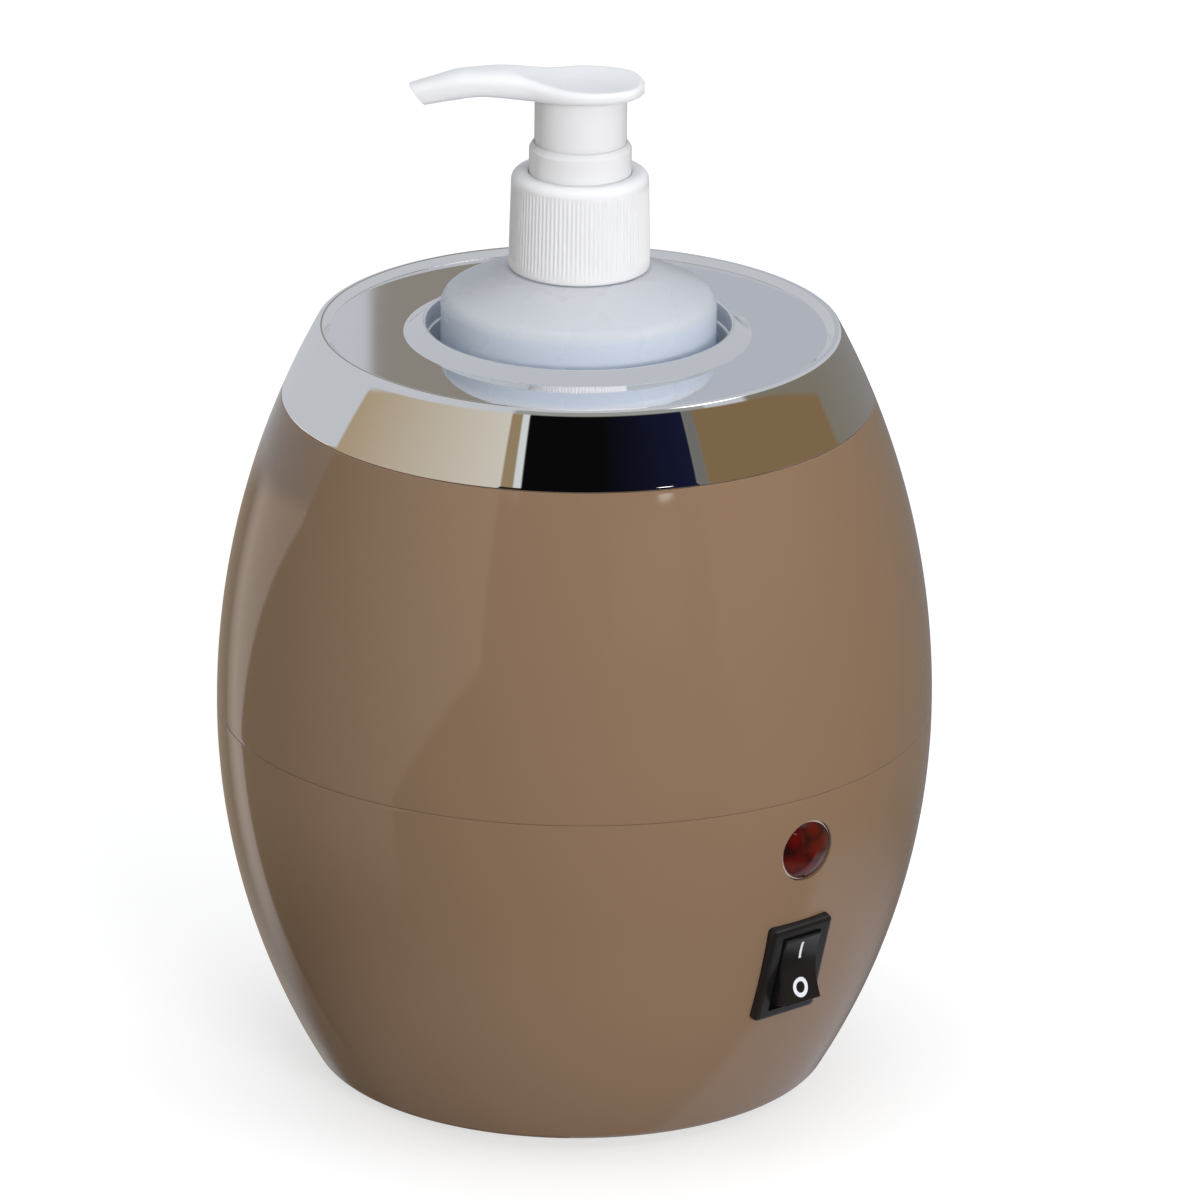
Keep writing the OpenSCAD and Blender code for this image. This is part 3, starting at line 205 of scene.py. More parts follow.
CLOSURE_R = 13.7
CLOSURE_TOP_R = 13.3
CLOSURE_BORE_R = 11.05
CLOSURE_FOOT = 0.6
CLOSURE_ROUND = 1.8
CLOSURE_CROWN_START = 8
CLOSURE_HOLE_GAP = 0.12
CLOSURE_HOLE_EDGE = 0.2
CLOSURE_SHARP = 50.0
CLOSURE_RIBS = 98
RIB_H = 0.2
RIB_START = 0.7
RIB_FADE_LOW = 8
RIB_FADE_HIGH = 12

# Pump
CHAPLET_R = 9.9
CHAPLET_TOP = FLANGE_TOP + 8.2
CHAPLET_CHAMFER = 1.1
CHAPLET_ROUND = 0.7
CHAPLET_LAND = 0.15
CHAPLET_EDGE = 0.08
CHAPLET_FLOOR = 1.0
STEM_R = 2.6
SKIRT_R = 8.9
SKIRT_WALL = 1.3
SKIRT_EDGE = 0.2
SKIRT_Z = CHAPLET_TOP - 0.4
HUB_R = 4.0
HUB_GAP = 0.05
HEAD_Z = CHAPLET_TOP + 7.3
HEAD_JOIN = 2.6
HEAD_SHARP = 40.0
PAD_H = 6.4
SPOUT_TURN = math.radians(139.6)
SPRING_Z = NECK_TOP - 39.35
SPRING_TOP = FLANGE_TOP - 6.15
SPRING_R = 4.85
SPRING_WIRE = 0.9
SPRING_TURNS = 7

# Pump head: distance towards the spout's tip, half width, and the heights of its
# underside and top above the pad's underside
HEAD_SECTIONS = (
    (-12.2, 2.4, 2.9, 4.3),
    (-11.4, 4.6, 2.5, PAD_H - 1.3),
    (-10.0, 6.9, 2.2, PAD_H - 0.6),
    (-7.0, 8.9, 1.8, PAD_H - 0.1),
    (-3.0, 9.9, 1.6, PAD_H),
    (0.0, 9.9, 1.5, PAD_H),
    (3.0, 9.2, 1.3, PAD_H - 0.1),
    (6.0, 7.8, 1.2, PAD_H),
    (9.0, 6.4, 1.4, PAD_H + 0.5),
    (12.0, 5.5, 1.5, PAD_H + 0.8),
    (16.0, 4.9, 1.8, PAD_H + 0.9),
    (20.0, 4.4, 1.8, PAD_H + 0.6),
    (24.0, 3.9, 1.1, PAD_H + 0.2),
    (28.0, 3.3, 0.3, PAD_H - 1.0),
    (31.0, 2.9, -0.3, PAD_H - 1.9),
    (34.0, 2.7, -0.9, PAD_H - 2.9),
)
HEAD_POWER = 2.6
DISH_PLACE = -3.5
DISH_R = 48.0
DISH_DEPTH = 2.1
DISH_BLEND = 0.4
DISH_Z = PAD_H - DISH_DEPTH + DISH_R
TIP_TOP = (32.9, 3.8)
TIP_LOW = (29.8, -0.1)
TIP_CUT_W = 30.0
TIP_CUT_H = 20.0
MOUTH_R = 1.3
MOUTH_PLACE = (31.0, 1.9)
MOUTH_TURN = math.radians(101)
MOUTH_DEPTH = 7.0
MOUTH_OUT = 4.0


def arc_r(z, radius, inset=0.0):
    """The body's radius at a height on one of its two arcs."""
    return BELLY_R - radius + math.sqrt((radius - inset) ** 2 - (z - BELLY_Z) ** 2)


def body_r(z):
    return arc_r(z, UPPER_ARC if z > BELLY_Z else LOWER_ARC)


def lean(z):
    """How far the lower shell's normal dips at a height."""
    return math.asin((BELLY_Z - z) / LOWER_ARC)


def sag(half_w, half_h, z):
    """How far the curved wall falls back behind a flat seat of this half size."""
    return half_w ** 2 / (2 * body_r(z)) + half_h ** 2 / (2 * LOWER_ARC)


def body_line(z0, z1, inset=0.0, steps=PROFILE_STEPS):
    """Points along the body's profile, moved in by a wall thickness."""
    heights = [z0 + (z1 - z0) * i / steps for i in range(steps + 1)]
    return [(body_r(z) - inset, z) for z in heights]


def arc(centre, radius, start, end, steps=10):
    """Points along an arc, with angles in degrees."""
    angles = [math.radians(start + (end - start) * i / steps) for i in range(steps + 1)]
    return [(centre[0] + radius * math.cos(a), centre[1] + radius * math.sin(a)) for a in angles]


def rounded(corners, steps=5):
    """A closed outline whose corners (x, y, radius) are rounded by arcs."""
    points = []
    count = len(corners)
    for i, (x, y, radius) in enumerate(corners):
        here = Vector((x, y))
        if radius <= 0:
            points.append((x, y))
            continue
        back = (Vector(corners[i - 1][:2]) - here).normalized()
        ahead = (Vector(corners[(i + 1) % count][:2]) - here).normalized()
        half = back.angle(ahead) / 2
        reach = radius / math.tan(half)
        centre = here + (back + ahead).normalized() * (radius / math.sin(half))
        first = here + back * reach - centre
        turn = first.angle_signed(here + ahead * reach - centre)
        for k in range(steps + 1):
            a = -turn * k / steps
            c, s = math.cos(a), math.sin(a)
            points.append((centre.x + first.x * c - first.y * s, centre.y + first.x * s + first.y * c))
    return points


def plain(points):
    """Corners without a rounding."""
    return [(x, y, 0.0) for x, y in points]


def box_outline(w, h, radius=0.0):
    x, y = w / 2, h / 2
    return rounded([(-x, -y, radius), (x, -y, radius), (x, y, radius), (-x, y, radius)])


def make_piece(name, verts, faces, sharp=SHARP):
    """A smooth mesh object from points in millimetres."""
    mesh = bpy.data.meshes.new(name)
    mesh.from_pydata([(x * MM, y * MM, z * MM) for x, y, z in verts], [], faces)
    mesh.validate()
    piece = bpy.data.objects.new(name, mesh)
    bpy.context.collection.objects.link(piece)
    smooth(piece, sharp)
    return piece


def smooth(piece, sharp=SHARP):
    """Smooth shading, apart from edges that are sharper than an angle."""
    mesh = piece.data
    for face in mesh.polygons:
        face.use_smooth = True
    mesh.set_sharp_from_angle(angle=math.radians(sharp))


def lathe_mesh(outline, segments):
    """Points and faces of a closed outline of (radius, height) turned about Z."""
    on_axis = 1e-6
    verts = []
    rows = []
    for r, z in outline:
        if r < on_axis:
            rows.append([len(verts)] * segments)
            verts.append((0.0, 0.0, z))
            continue
        rows.append(list(range(len(verts), len(verts) + segments)))
        for k in range(segments):
            a = 2 * math.pi * k / segments
            verts.append((r * math.cos(a), r * math.sin(a), z))
    faces = []
    for i, row in enumerate(rows):
        after = rows[(i + 1) % len(rows)]
        if row[0] == row[1] and after[0] == after[1]:
            continue
        for k in range(segments):
            n = (k + 1) % segments
            loop = [row[k], row[n], after[n], after[k]]
            faces.append([v for j, v in enumerate(loop) if v != loop[j - 1]])
    return verts, faces


def lathe(name, outline, segments=SEGMENTS):
    verts, faces = lathe_mesh(outline, segments)
    piece = make_piece(name, verts, faces)
    outward(piece)
    return piece


def disc(name, radius, low, high, segments=SMALL_SEGMENTS):
    return lathe(name, [(0, low), (radius, low), (radius, high), (0, high)], segments)


def outward(piece):
    """Turns all the faces of a closed mesh outwards."""
    form = bmesh.new()
    form.from_mesh(piece.data)
    bmesh.ops.recalc_face_normals(form, faces=form.faces)
    form.to_mesh(piece.data)
    form.free()


def skin(name, rings):
    """A closed skin over rings of equal count."""
    count = len(rings[0])
    verts = [point for ring in rings for point in ring]
    last = len(verts) - count
    faces = [list(range(count))[::-1], list(range(last, last + count))]
    for start in range(0, last, count):
        for i in range(count):
            n = (i + 1) % count
            faces.append([start + i, start + n, start + count + n, start + count + i])
    piece = make_piece(name, verts, faces)
    outward(piece)
    return piece


def loft(name, layers):
    """A closed skin over outlines, each at its height."""
    return skin(name, [[(x, y, z) for x, y in outline] for outline, z in layers])


def extrude(name, outline, low, high):
    """A closed outline of (x, y) between two heights."""
    return loft(name, [(outline, low), (outline, high)])


def place(piece, matrix):
    piece.data.transform(matrix)
    piece.data.update()


def on_front(z, out=0.0):
    """The matrix of a seat on the lower shell's front, with +Z along the outward normal."""
    slope = lean(z)
    origin = Vector((0.0, -body_r(z) - out * math.cos(slope), z - out * math.sin(slope))) * MM
    return Matrix.Translation(origin) @ Matrix.Rotation(math.pi / 2 + slope, 4, "X")


def on_back(z):
    return Matrix.Rotation(math.pi, 4, "Z") @ on_front(z)


def bake(piece):
    """Replaces a piece's mesh by what its modifiers make of it."""
    shown = piece.evaluated_get(bpy.context.evaluated_depsgraph_get())
    mesh = bpy.data.meshes.new_from_object(shown)
    piece.modifiers.clear()
    piece.data = mesh


def cut(piece, cutters):
    """Cuts the cutters out of a piece and deletes them."""
    for cutter in cutters:
        step = piece.modifiers.new("cut", "BOOLEAN")
        step.operation = "DIFFERENCE"
        step.solver = "EXACT"
        step.object = cutter
    bake(piece)
    for cutter in cutters:
        bpy.data.objects.remove(cutter)


def bevel(piece, width, segments):
    step = piece.modifiers.new("bevel", "BEVEL")
    step.width = width * MM
    step.segments = segments
    step.limit_method = "ANGLE"
    step.angle_limit = math.radians(SHARP)
    bake(piece)


def join(name, pieces):
    """One object out of several closed meshes."""
    form = bmesh.new()
    for piece in pieces:
        form.from_mesh(piece.data)
        bpy.data.objects.remove(piece)
    mesh = bpy.data.meshes.new(name)
    form.to_mesh(mesh)
    form.free()
    whole = bpy.data.objects.new(name, mesh)
    bpy.context.collection.objects.link(whole)
    return whole


# Surfaces

# The noise's usual range, how far gloss drifts with it, and the fine grain with its depth in metres
NOISE_LOW = 0.3
NOISE_HIGH = 0.7
GLOSS_DRIFT = 0.1
GRAIN_DETAIL = 2.0
GRAIN_DEPTH = 0.00005

# The bottle's tints on its wall and shoulder, with painted shading: the wall is painted lighter and bluer
# and the shoulder greyer, as light falls on them; the blend's reach over the shoulder's edge, its gloss,
# and the share of light that passes through
WALL_MILK_PAINTED_LIGHT = (0.84, 0.91, 1.0)
SHOULDER_MILK_PAINTED_SHADE = (0.83, 0.85, 0.89)
PAINTED_SHADE_BLEND = 0.7
BOTTLE_DRIFT = 40.0
BOTTLE_GLOSS = (0.24, 0.30)
BOTTLE_SHINE = 0.9
BOTTLE_THROUGH = 0.45

# The lens's two reds: its own dark red, and a lighter red painted on its facets as light caught inside; and
# how fine its facets are
LENS_DARK = (0.02, 0.002, 0.002)
LENS_PAINTED_LIGHT_RED = (0.085, 0.004, 0.003)
LENS_FACETS = 260.0


class Tree:
    """Adds and links the nodes of a material or of the studio."""

    def __init__(self, tree):
        self.tree = tree

    def add(self, kind, **values):
        made = self.tree.nodes.new(kind)
        for key, value in values.items():
            setattr(made, key, value)
        return made

    def link(self, start, end):
        self.tree.links.new(start, end)

    def span(self, source, start, end, low=0.0, high=1.0, kind="LINEAR"):
        """Maps a value from one range to another."""
        made = self.add("ShaderNodeMapRange", interpolation_type=kind)
        made.inputs["From Min"].default_value = start
        made.inputs["From Max"].default_value = end
        made.inputs["To Min"].default_value = low
        made.inputs["To Max"].default_value = high
        self.link(source, made.inputs["Value"])
        return made.outputs["Result"]

    def blend(self, share, first, second):
        """Mixes two colours, each a constant or another node's output."""
        made = self.add("ShaderNodeMix", data_type="RGBA")
        self.link(share, made.inputs["Factor"])
        for slot, colour in (("A", first), ("B", second)):
            if isinstance(colour, tuple):
                made.inputs[slot].default_value = (*colour, 1.0)
            else:
                self.link(colour, made.inputs[slot])
        return made.outputs["Result"]


class Surface(Tree):
    """A material with its shader and its output."""

    def __init__(self, name):
        self.material = bpy.data.materials.new(name)
        self.material.use_nodes = True
        super().__init__(self.material.node_tree)
        self.shader = self.tree.nodes["Principled BSDF"]
        self.output = self.tree.nodes["Material Output"]
        self.spot = self.add("ShaderNodeTexCoord").outputs["Object"]

    def noise(self, scale, detail=4.0):
        made = self.add("ShaderNodeTexNoise")
        made.inputs["Scale"].default_value = scale
        made.inputs["Detail"].default_value = detail
        self.link(self.spot, made.inputs["Vector"])
        return made.outputs["Fac"]

    def feed(self, source, name):
        self.link(source, self.shader.inputs[name])

    def give(self, **values):
        """Sets the shader's inputs, with underscores for the spaces in their names."""
        for key, value in values.items():
            self.shader.inputs[key.replace("_", " ")].default_value = value

    def bump(self, source, strength):
        made = self.add("ShaderNodeBump")
        made.inputs["Strength"].default_value = strength
        made.inputs["Distance"].default_value = GRAIN_DEPTH
        self.link(source, made.inputs["Height"])
        self.feed(made.outputs["Normal"], "Normal")


def finish_of(name, base, rough, metal=0.0, vary=0.04, scale=60.0, bump=0.0, grain=900.0, **more):
    """A surface with a slight drift of colour and gloss, and a fine grain where asked."""
    surface = Surface(name)
    drift = surface.noise(scale)
    low = tuple(c * (1 - vary) for c in base)
    high = tuple(min(1.0, c * (1 + vary)) for c in base)
    surface.feed(surface.blend(drift, low, high), "Base Color")
    glossy = rough * (1 - GLOSS_DRIFT)
    matt = rough * (1 + GLOSS_DRIFT)
    surface.feed(surface.span(drift, NOISE_LOW, NOISE_HIGH, glossy, matt), "Roughness")
    surface.give(Metallic=metal, **more)
    if bump > 0:
        surface.bump(surface.noise(grain, GRAIN_DETAIL), bump)
    return surface.material


body_plastic = finish_of("body_plastic", (0.235, 0.152, 0.096), 0.07, vary=0.02, scale=25.0, IOR=1.52)
chrome = finish_of("chrome", (0.92, 0.92, 0.93), 0.012, metal=1.0, vary=0.01, scale=40.0)
polished_plate = finish_of("polished_plate", (0.88, 0.89, 0.91), 0.03, metal=1.0, vary=0.01, scale=50.0)
cup_metal = finish_of("cup_metal", (0.93, 0.94, 0.96), 0.35, metal=0.5, vary=0.03, scale=80.0)
heater_metal = finish_of("heater_metal", (0.48, 0.42, 0.33), 0.4, metal=1.0, vary=0.06)
steel = finish_of("steel", (0.55, 0.56, 0.58), 0.3, metal=1.0, vary=0.05, scale=200.0)
brass = finish_of("brass", (0.6, 0.46, 0.22), 0.3, metal=1.0, vary=0.05, scale=200.0)
dark_plastic = finish_of("dark_plastic", (0.02, 0.019, 0.019), 0.5, vary=0.1, bump=0.3, grain=1500.0)
black_plastic = finish_of("black_plastic", (0.009, 0.009, 0.010), 0.3, vary=0.1, bump=0.08, grain=3000.0)
rocker_black = finish_of("rocker_black", (0.008, 0.008, 0.009), 0.2, vary=0.1)
mark_white = finish_of("mark_white", (0.74, 0.76, 0.83), 0.5, vary=0.05, scale=800.0)
rubber = finish_of("rubber", (0.012, 0.012, 0.012), 0.8, vary=0.15, bump=0.4)
white_plastic = finish_of("white_plastic", (0.82, 0.83, 0.86), 0.32, vary=0.01, scale=90.0,
                          Subsurface_Weight=0.35, Subsurface_Scale=0.003, Subsurface_Radius=(1.0, 1.0, 1.0))
pale_plastic = finish_of("pale_plastic", (0.62, 0.5, 0.47), 0.25, vary=0.03, scale=300.0)
gasket_foam = finish_of("gasket_foam", (0.7, 0.7, 0.67), 0.9, vary=0.1, bump=0.5)
clear_plastic = finish_of("clear_plastic", (0.8, 0.82, 0.84), 0.3, vary=0.03, Transmission_Weight=0.5)
clear_glass = finish_of("clear_glass", (0.95, 0.8, 0.7), 0.05, vary=0.02, Transmission_Weight=0.9)
brown_cover = finish_of("brown_cover", (0.08, 0.03, 0.015), 0.4, vary=0.08)
blue_cover = finish_of("blue_cover", (0.01, 0.04, 0.2), 0.4, vary=0.08)


def bottle_finish():
    """Natural polyethylene: a milky wall that lets light through, under a soft gloss, with painted shading:
    the wall is painted lighter and bluer and the sloping shoulder greyer, standing in for how light falls
    on them.
    """
    surface = Surface("bottle_plastic")
    axes = surface.add("ShaderNodeSeparateXYZ")
    surface.link(surface.spot, axes.inputs["Vector"])
    # Painted shading: the colour blends by height from the lighter, bluer wall to the greyer shoulder
    # across the shoulder's edge
    blend_end = EDGE_Z + PAINTED_SHADE_BLEND * SHOULDER_EDGE
    height = surface.span(axes.outputs["Z"], EDGE_Z * MM, blend_end * MM)
    milk_with_painted_shade = surface.blend(height, WALL_MILK_PAINTED_LIGHT, SHOULDER_MILK_PAINTED_SHADE)
    surface.feed(milk_with_painted_shade, "Base Color")
    drift = surface.noise(BOTTLE_DRIFT)
    surface.feed(surface.span(drift, NOISE_LOW, NOISE_HIGH, *BOTTLE_GLOSS), "Roughness")
    surface.give(Specular_IOR_Level=BOTTLE_SHINE)
    through = surface.add("ShaderNodeBsdfTranslucent")
    surface.link(milk_with_painted_shade, through.inputs["Color"])
    mixed = surface.add("ShaderNodeMixShader")
    mixed.inputs["Fac"].default_value = BOTTLE_THROUGH
    surface.link(surface.shader.outputs["BSDF"], mixed.inputs[1])
    surface.link(through.outputs["BSDF"], mixed.inputs[2])
    surface.link(mixed.outputs["Shader"], surface.output.inputs["Surface"])
    return surface.material


def lens_finish():
    """Red glass over a faceted inside, under a clear gloss: the facets are drawn as cells, and the lighter
    red on them is painted light standing in for light caught inside the lens.
    """
    surface = Surface("red_lens")
    facets = surface.add("ShaderNodeTexVoronoi")
    facets.inputs["Scale"].default_value = LENS_FACETS
    surface.link(surface.spot, facets.inputs["Vector"])
    # Painted light: the lighter red on the facet cells stands in for light caught inside the lens
    painted_facet_light = surface.span(facets.outputs["Distance"], NOISE_LOW, NOISE_HIGH, 1.0, 0.0)
    surface.feed(surface.blend(painted_facet_light, LENS_DARK, LENS_PAINTED_LIGHT_RED), "Base Color")
    surface.give(Roughness=0.05)
    return surface.material


bottle_plastic = bottle_finish()
red_lens = lens_finish()


def dress(piece, material):
    piece.data.materials.clear()
    piece.data.materials.append(material)


def stand_for(piece, body, material, *nodes):
    """A finer piece takes the place of CAD nodes and moves with their body."""
    dress(piece, material)
    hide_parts(*nodes)
    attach(piece, body)
    return piece


# Body shells, ring, plate and cup


def switch_sink():
    return sag(SWITCH_W / 2, SWITCH_H / 2, SWITCH_Z) + SEAT_SLACK


def lamp_sink():
    return sag(LAMP_R, 0, LAMP_Z) + LAMP_RECESS + LAMP_BEZEL_T


def gland_sink():
    return sag(GLAND_R, 0, GLAND_Z) + SEAT_SLACK


def seat_cutters():
    """The sinks and holes of the switch, the lamp and the gland."""
    wider = 2 * FIT_GAP
    frame_outline = box_outline(SWITCH_W + wider, SWITCH_H + wider, SWITCH_ROUND)
    body_outline = box_outline(SWITCH_BODY[0] + wider, SWITCH_BODY[1] + wider)
    frame_seat = extrude("cutter", frame_outline, -switch_sink(), CUT_ABOVE)
    frame_hole = extrude("cutter", body_outline, -HOLE_DEPTH, CUT_ABOVE)
    lamp_seat = disc("cutter", LAMP_R + FIT_GAP, -lamp_sink(), CUT_ABOVE)
    lamp_hole = disc("cutter", LAMP_TUBE_R + FIT_GAP, -HOLE_DEPTH, CUT_ABOVE)
    gland_seat = disc("cutter", GLAND_R + FIT_GAP, -gland_sink(), CUT_ABOVE)
    gland_hole = disc("cutter", GLAND_TUBE_R + FIT_GAP, -GLAND_DEPTH, CUT_ABOVE)
    for cutter in (frame_seat, frame_hole):
        place(cutter, on_front(SWITCH_Z))
    for cutter in (lamp_seat, lamp_hole):
        place(cutter, on_front(LAMP_Z))
    for cutter in (gland_seat, gland_hole):
        place(cutter, on_back(GLAND_Z))
    return [frame_seat, frame_hole, lamp_seat, lamp_hole, gland_seat, gland_hole]


def lower_shell():
    round_z = FOOT_H + BASE_ROUND
    round_r = arc_r(round_z, LOWER_ARC, BASE_ROUND)
    round_end = math.degrees(math.asin((BELLY_Z - round_z) / (LOWER_ARC - BASE_ROUND)))
    wall_start = round_z - BASE_ROUND * math.sin(math.radians(round_end)) + ROUND_STEP
    lip_out = BELLY_R - SHELL_WALL - FIT_GAP
    lip_in = lip_out - LIP_T
    lip_top = BELLY_Z + LIP_H
    lip_root = BELLY_Z - LIP_ROOT
    base_open = round_r - BASE_RIM_W
    ledge = base_open - LEDGE_W
    outline = rounded(
        plain([(base_open, FOOT_H)])
        + plain(arc((round_r, round_z), BASE_ROUND, -90, -round_end))
        + plain(body_line(wall_start, BELLY_Z - SEAM_STEP))
        + [(BELLY_R, BELLY_Z, SEAM)]
        + plain([(lip_out, BELLY_Z), (lip_out, lip_top), (lip_in, lip_top), (lip_in, lip_root)])
        + plain(body_line(lip_root - LIP_T, LEDGE_TOP, SHELL_WALL, WALL_STEPS))
        + plain([(ledge, LEDGE_TOP), (ledge, SEAT_Z), (base_open, SEAT_Z)])
    )
    piece = lathe("lower_shell_form", outline)
    cut(piece, seat_cutters())
    smooth(piece)
    return piece


def upper_shell():
    inset = RING_T + FIT_GAP
    pocket = CUP_FLANGE_R + FIT_GAP
    bore = CUP_OUT_R + FIT_GAP
    outline = rounded(
        [(BELLY_R, BELLY_Z + SEAM_GAP, SEAM)]
        + plain(body_line(BELLY_Z + SEAM_STEP, RING_Z - RING_STEP))
        + [(body_r(RING_Z), RING_Z, SEAM)]
        + plain(body_line(RING_Z, DECK_TOP, inset, SHORT_STEPS))
        + plain([(pocket, DECK_TOP), (pocket, FLANGE_BOTTOM), (bore, FLANGE_BOTTOM), (bore, DECK_BOTTOM)])
        + plain(body_line(DECK_BOTTOM, RING_Z - DECK_ROOT, inset + DECK_WALL, SHORT_STEPS))
        + plain(body_line(RING_Z - WALL_DROP, BELLY_Z, SHELL_WALL, WALL_STEPS))
    )
    return lathe("upper_shell_form", outline)


def rim_middle():
    """Radius and height of the middle of the ring's rolled rim."""
    z = RIM_Z - RIM_ROUND
    return arc_r(z, UPPER_ARC, RIM_ROUND), z


def chrome_ring():
    round_r, round_z = rim_middle()
    round_start = math.degrees(math.asin((round_z - BELLY_Z) / (UPPER_ARC - RIM_ROUND)))
    inner = round_r - RIM_W - RIM_SLOPE
    pocket = inner + PLATE_TUCK + FIT_GAP
    outline = rounded(
        [(body_r(RING_Z), RING_Z, RING_EDGE)]
        + plain(body_line(RING_Z + RING_STEP, round_z - RIM_STEP))
        + plain(arc((round_r, round_z), RIM_ROUND, round_start, 90))
        + [(round_r - RIM_W, RIM_Z, RIM_CREST), (inner, PLATE_TOP, RIM_FOOT)]
        + plain([(pocket, PLATE_TOP), (pocket, DECK_TOP)])
        + plain(body_line(DECK_TOP, RING_Z, RING_T, SHORT_STEPS))
    )
    return lathe("chrome_ring_form", outline, FINE_SEGMENTS)


def top_plate():
    round_r, _ = rim_middle()
    outer = round_r - RIM_W - RIM_SLOPE + PLATE_TUCK
    collar_foot = COLLAR_TOP_R + COLLAR_W
    collar_top = PLATE_TOP + COLLAR_H
    outline = rounded([
        (COLLAR_BORE_R, DECK_TOP, 0.0),
        (outer, DECK_TOP, 0.0),
        (outer, PLATE_TOP, PLATE_EDGE),
        (outer - PLATE_STEP, PLATE_TOP, 0.0),
        (collar_foot + COLLAR_STEP, PLATE_TOP, 0.0),
        (collar_foot, PLATE_TOP, COLLAR_FOOT_ROUND),
        (COLLAR_TOP_R, collar_top, COLLAR_ROUND),
        (COLLAR_BORE_R, collar_top, COLLAR_ROUND),
    ])
    return lathe("top_plate_form", outline, FINE_SEGMENTS)


def heating_cup():
    bottom = CUP_FLOOR_Z - CUP_FLOOR_T
    outline = rounded([
        (0, bottom, 0.0),
        (CUP_OUT_R, bottom, CUP_FOOT_ROUND),
        (CUP_OUT_R, FLANGE_BOTTOM, 0.0),
        (CUP_FLANGE_R, FLANGE_BOTTOM, 0.0),
        (CUP_FLANGE_R, DECK_TOP, 0.0),
        (CUP_R, DECK_TOP, CUP_LIP_ROUND),
        (CUP_R, CUP_FLOOR_Z, CUP_FLOOR_ROUND),
        (0, CUP_FLOOR_Z, 0.0),
    ])
    return lathe("heating_cup_form", outline)


# Switch and lamp


def switch_housing():
    layers = [(box_outline(SWITCH_W, SWITCH_H, SWITCH_ROUND), 0)]
    for inset, z in arc((SWITCH_ROUND, SWITCH_FRAME_T - SWITCH_ROUND), SWITCH_ROUND, 180, 90, 6):
        corner = SWITCH_ROUND - inset / 2
        layers.append((box_outline(SWITCH_W - 2 * inset, SWITCH_H - 2 * inset, corner), z))
    rim = loft("frame", layers)
    body_outline = box_outline(SWITCH_BODY[0], SWITCH_BODY[1], SWITCH_BODY_ROUND)
    block = extrude("block", body_outline, -SWITCH_BODY[2], SWITCH_BODY_TUCK)
    cavity = box_outline(SWITCH_CAVITY[0], SWITCH_CAVITY[1], SWITCH_CAVITY_ROUND)
    for part in (rim, block):
        cut(part, [extrude("cutter", cavity, -SWITCH_CAVITY[2], SWITCH_CUT_ABOVE)])
    piece = join("switch_housing_form", [rim, block])
    place(piece, on_front(SWITCH_Z, -switch_sink()))
    smooth(piece)
    return piece


def rocker_seat():
    return on_front(SWITCH_Z, -switch_sink() - ROCKER_PIVOT) @ Matrix.Rotation(-ROCKER_TILT, 4, "X")


def rocker_top(y):
    """Height of the rocker's hollow top at a distance from its middle."""
    return ROCKER_DIP + ROCKER_HOLLOW_R - math.sqrt(ROCKER_HOLLOW_R ** 2 - y * y)


def switch_rocker():
    """The rocker's side view, drawn out along its width."""
    steps = 24
    places = [ROCKER_HALF - 2 * ROCKER_HALF * i / steps for i in range(steps + 1)]
    outline = [ROCKER_FOOT, ROCKER_SKIRT]
    outline += [(y, rocker_top(y)) for y in places]
    outline += [(-ROCKER_SKIRT[0], ROCKER_SKIRT[1]), (-ROCKER_FOOT[0], ROCKER_FOOT[1])]
    piece = extrude("switch_rocker_form", outline, -ROCKER_W / 2, ROCKER_W / 2)
    place(piece, Matrix(((0, 0, 1, 0), (1, 0, 0, 0), (0, 1, 0, 0), (0, 0, 0, 1))))
    bevel(piece, ROCKER_EDGE, 4)
    place(piece, rocker_seat())
    smooth(piece)
    return piece


def mark_piece(name, first, second):
    """A thin painted mark between two rows of (x, y), which follows the rocker's hollow top."""
    verts = [(x, y, rocker_top(y) + MARK_LIFT) for x, y in first + second]
    count = len(first)
    faces = [[i, i + 1, count + i + 1, count + i] for i in range(count - 1)]
    piece = make_piece(name, verts, faces)
    place(piece, rocker_seat())
    return piece


def mark_oval(inset):
    steps = 48
    half_w = MARK_RING_R[0] - inset
    half_h = MARK_RING_R[1] - inset
    turns = [2 * math.pi * i / steps for i in range(steps + 1)]
    return [(half_w * math.cos(a), MARK_RING_Y + half_h * math.sin(a)) for a in turns]


def rocker_marks():
    """The bar and the ring on the rocker's two ends."""
    steps = 8
    heights = [MARK_BAR_Y - MARK_BAR_H / 2 + MARK_BAR_H * i / steps for i in range(steps + 1)]
    left = [(-MARK_BAR_W / 2, y) for y in heights]
    right = [(MARK_BAR_W / 2, y) for y in heights]
    bar = mark_piece("mark_on", left, right)
    ring = mark_piece("mark_off", mark_oval(0.0), mark_oval(MARK_STROKE))
    return [bar, ring]


def lamp_bezel():
    bore = LAMP_TUBE_R - LAMP_TUBE_WALL
    tube_end = -LAMP_TUBE_L
    tube_floor = tube_end + LAMP_TUBE_END
    outline = rounded([
        (LAMP_TUBE_R, tube_end, 0.0),
        (LAMP_TUBE_R, 0, 0.0),
        (LAMP_R, 0, LAMP_BEZEL_FOOT),
        (LAMP_R, LAMP_BEZEL_T, LAMP_BEZEL_ROUND),
        (bore, LAMP_BEZEL_T, 0.0),
        (bore, tube_floor, 0.0),
        (0, tube_floor, 0.0),
        (0, tube_end, 0.0),
    ])
    piece = lathe("lamp_bezel_form", outline, SMALL_SEGMENTS)
    place(piece, on_front(LAMP_Z, -lamp_sink()))
    return piece


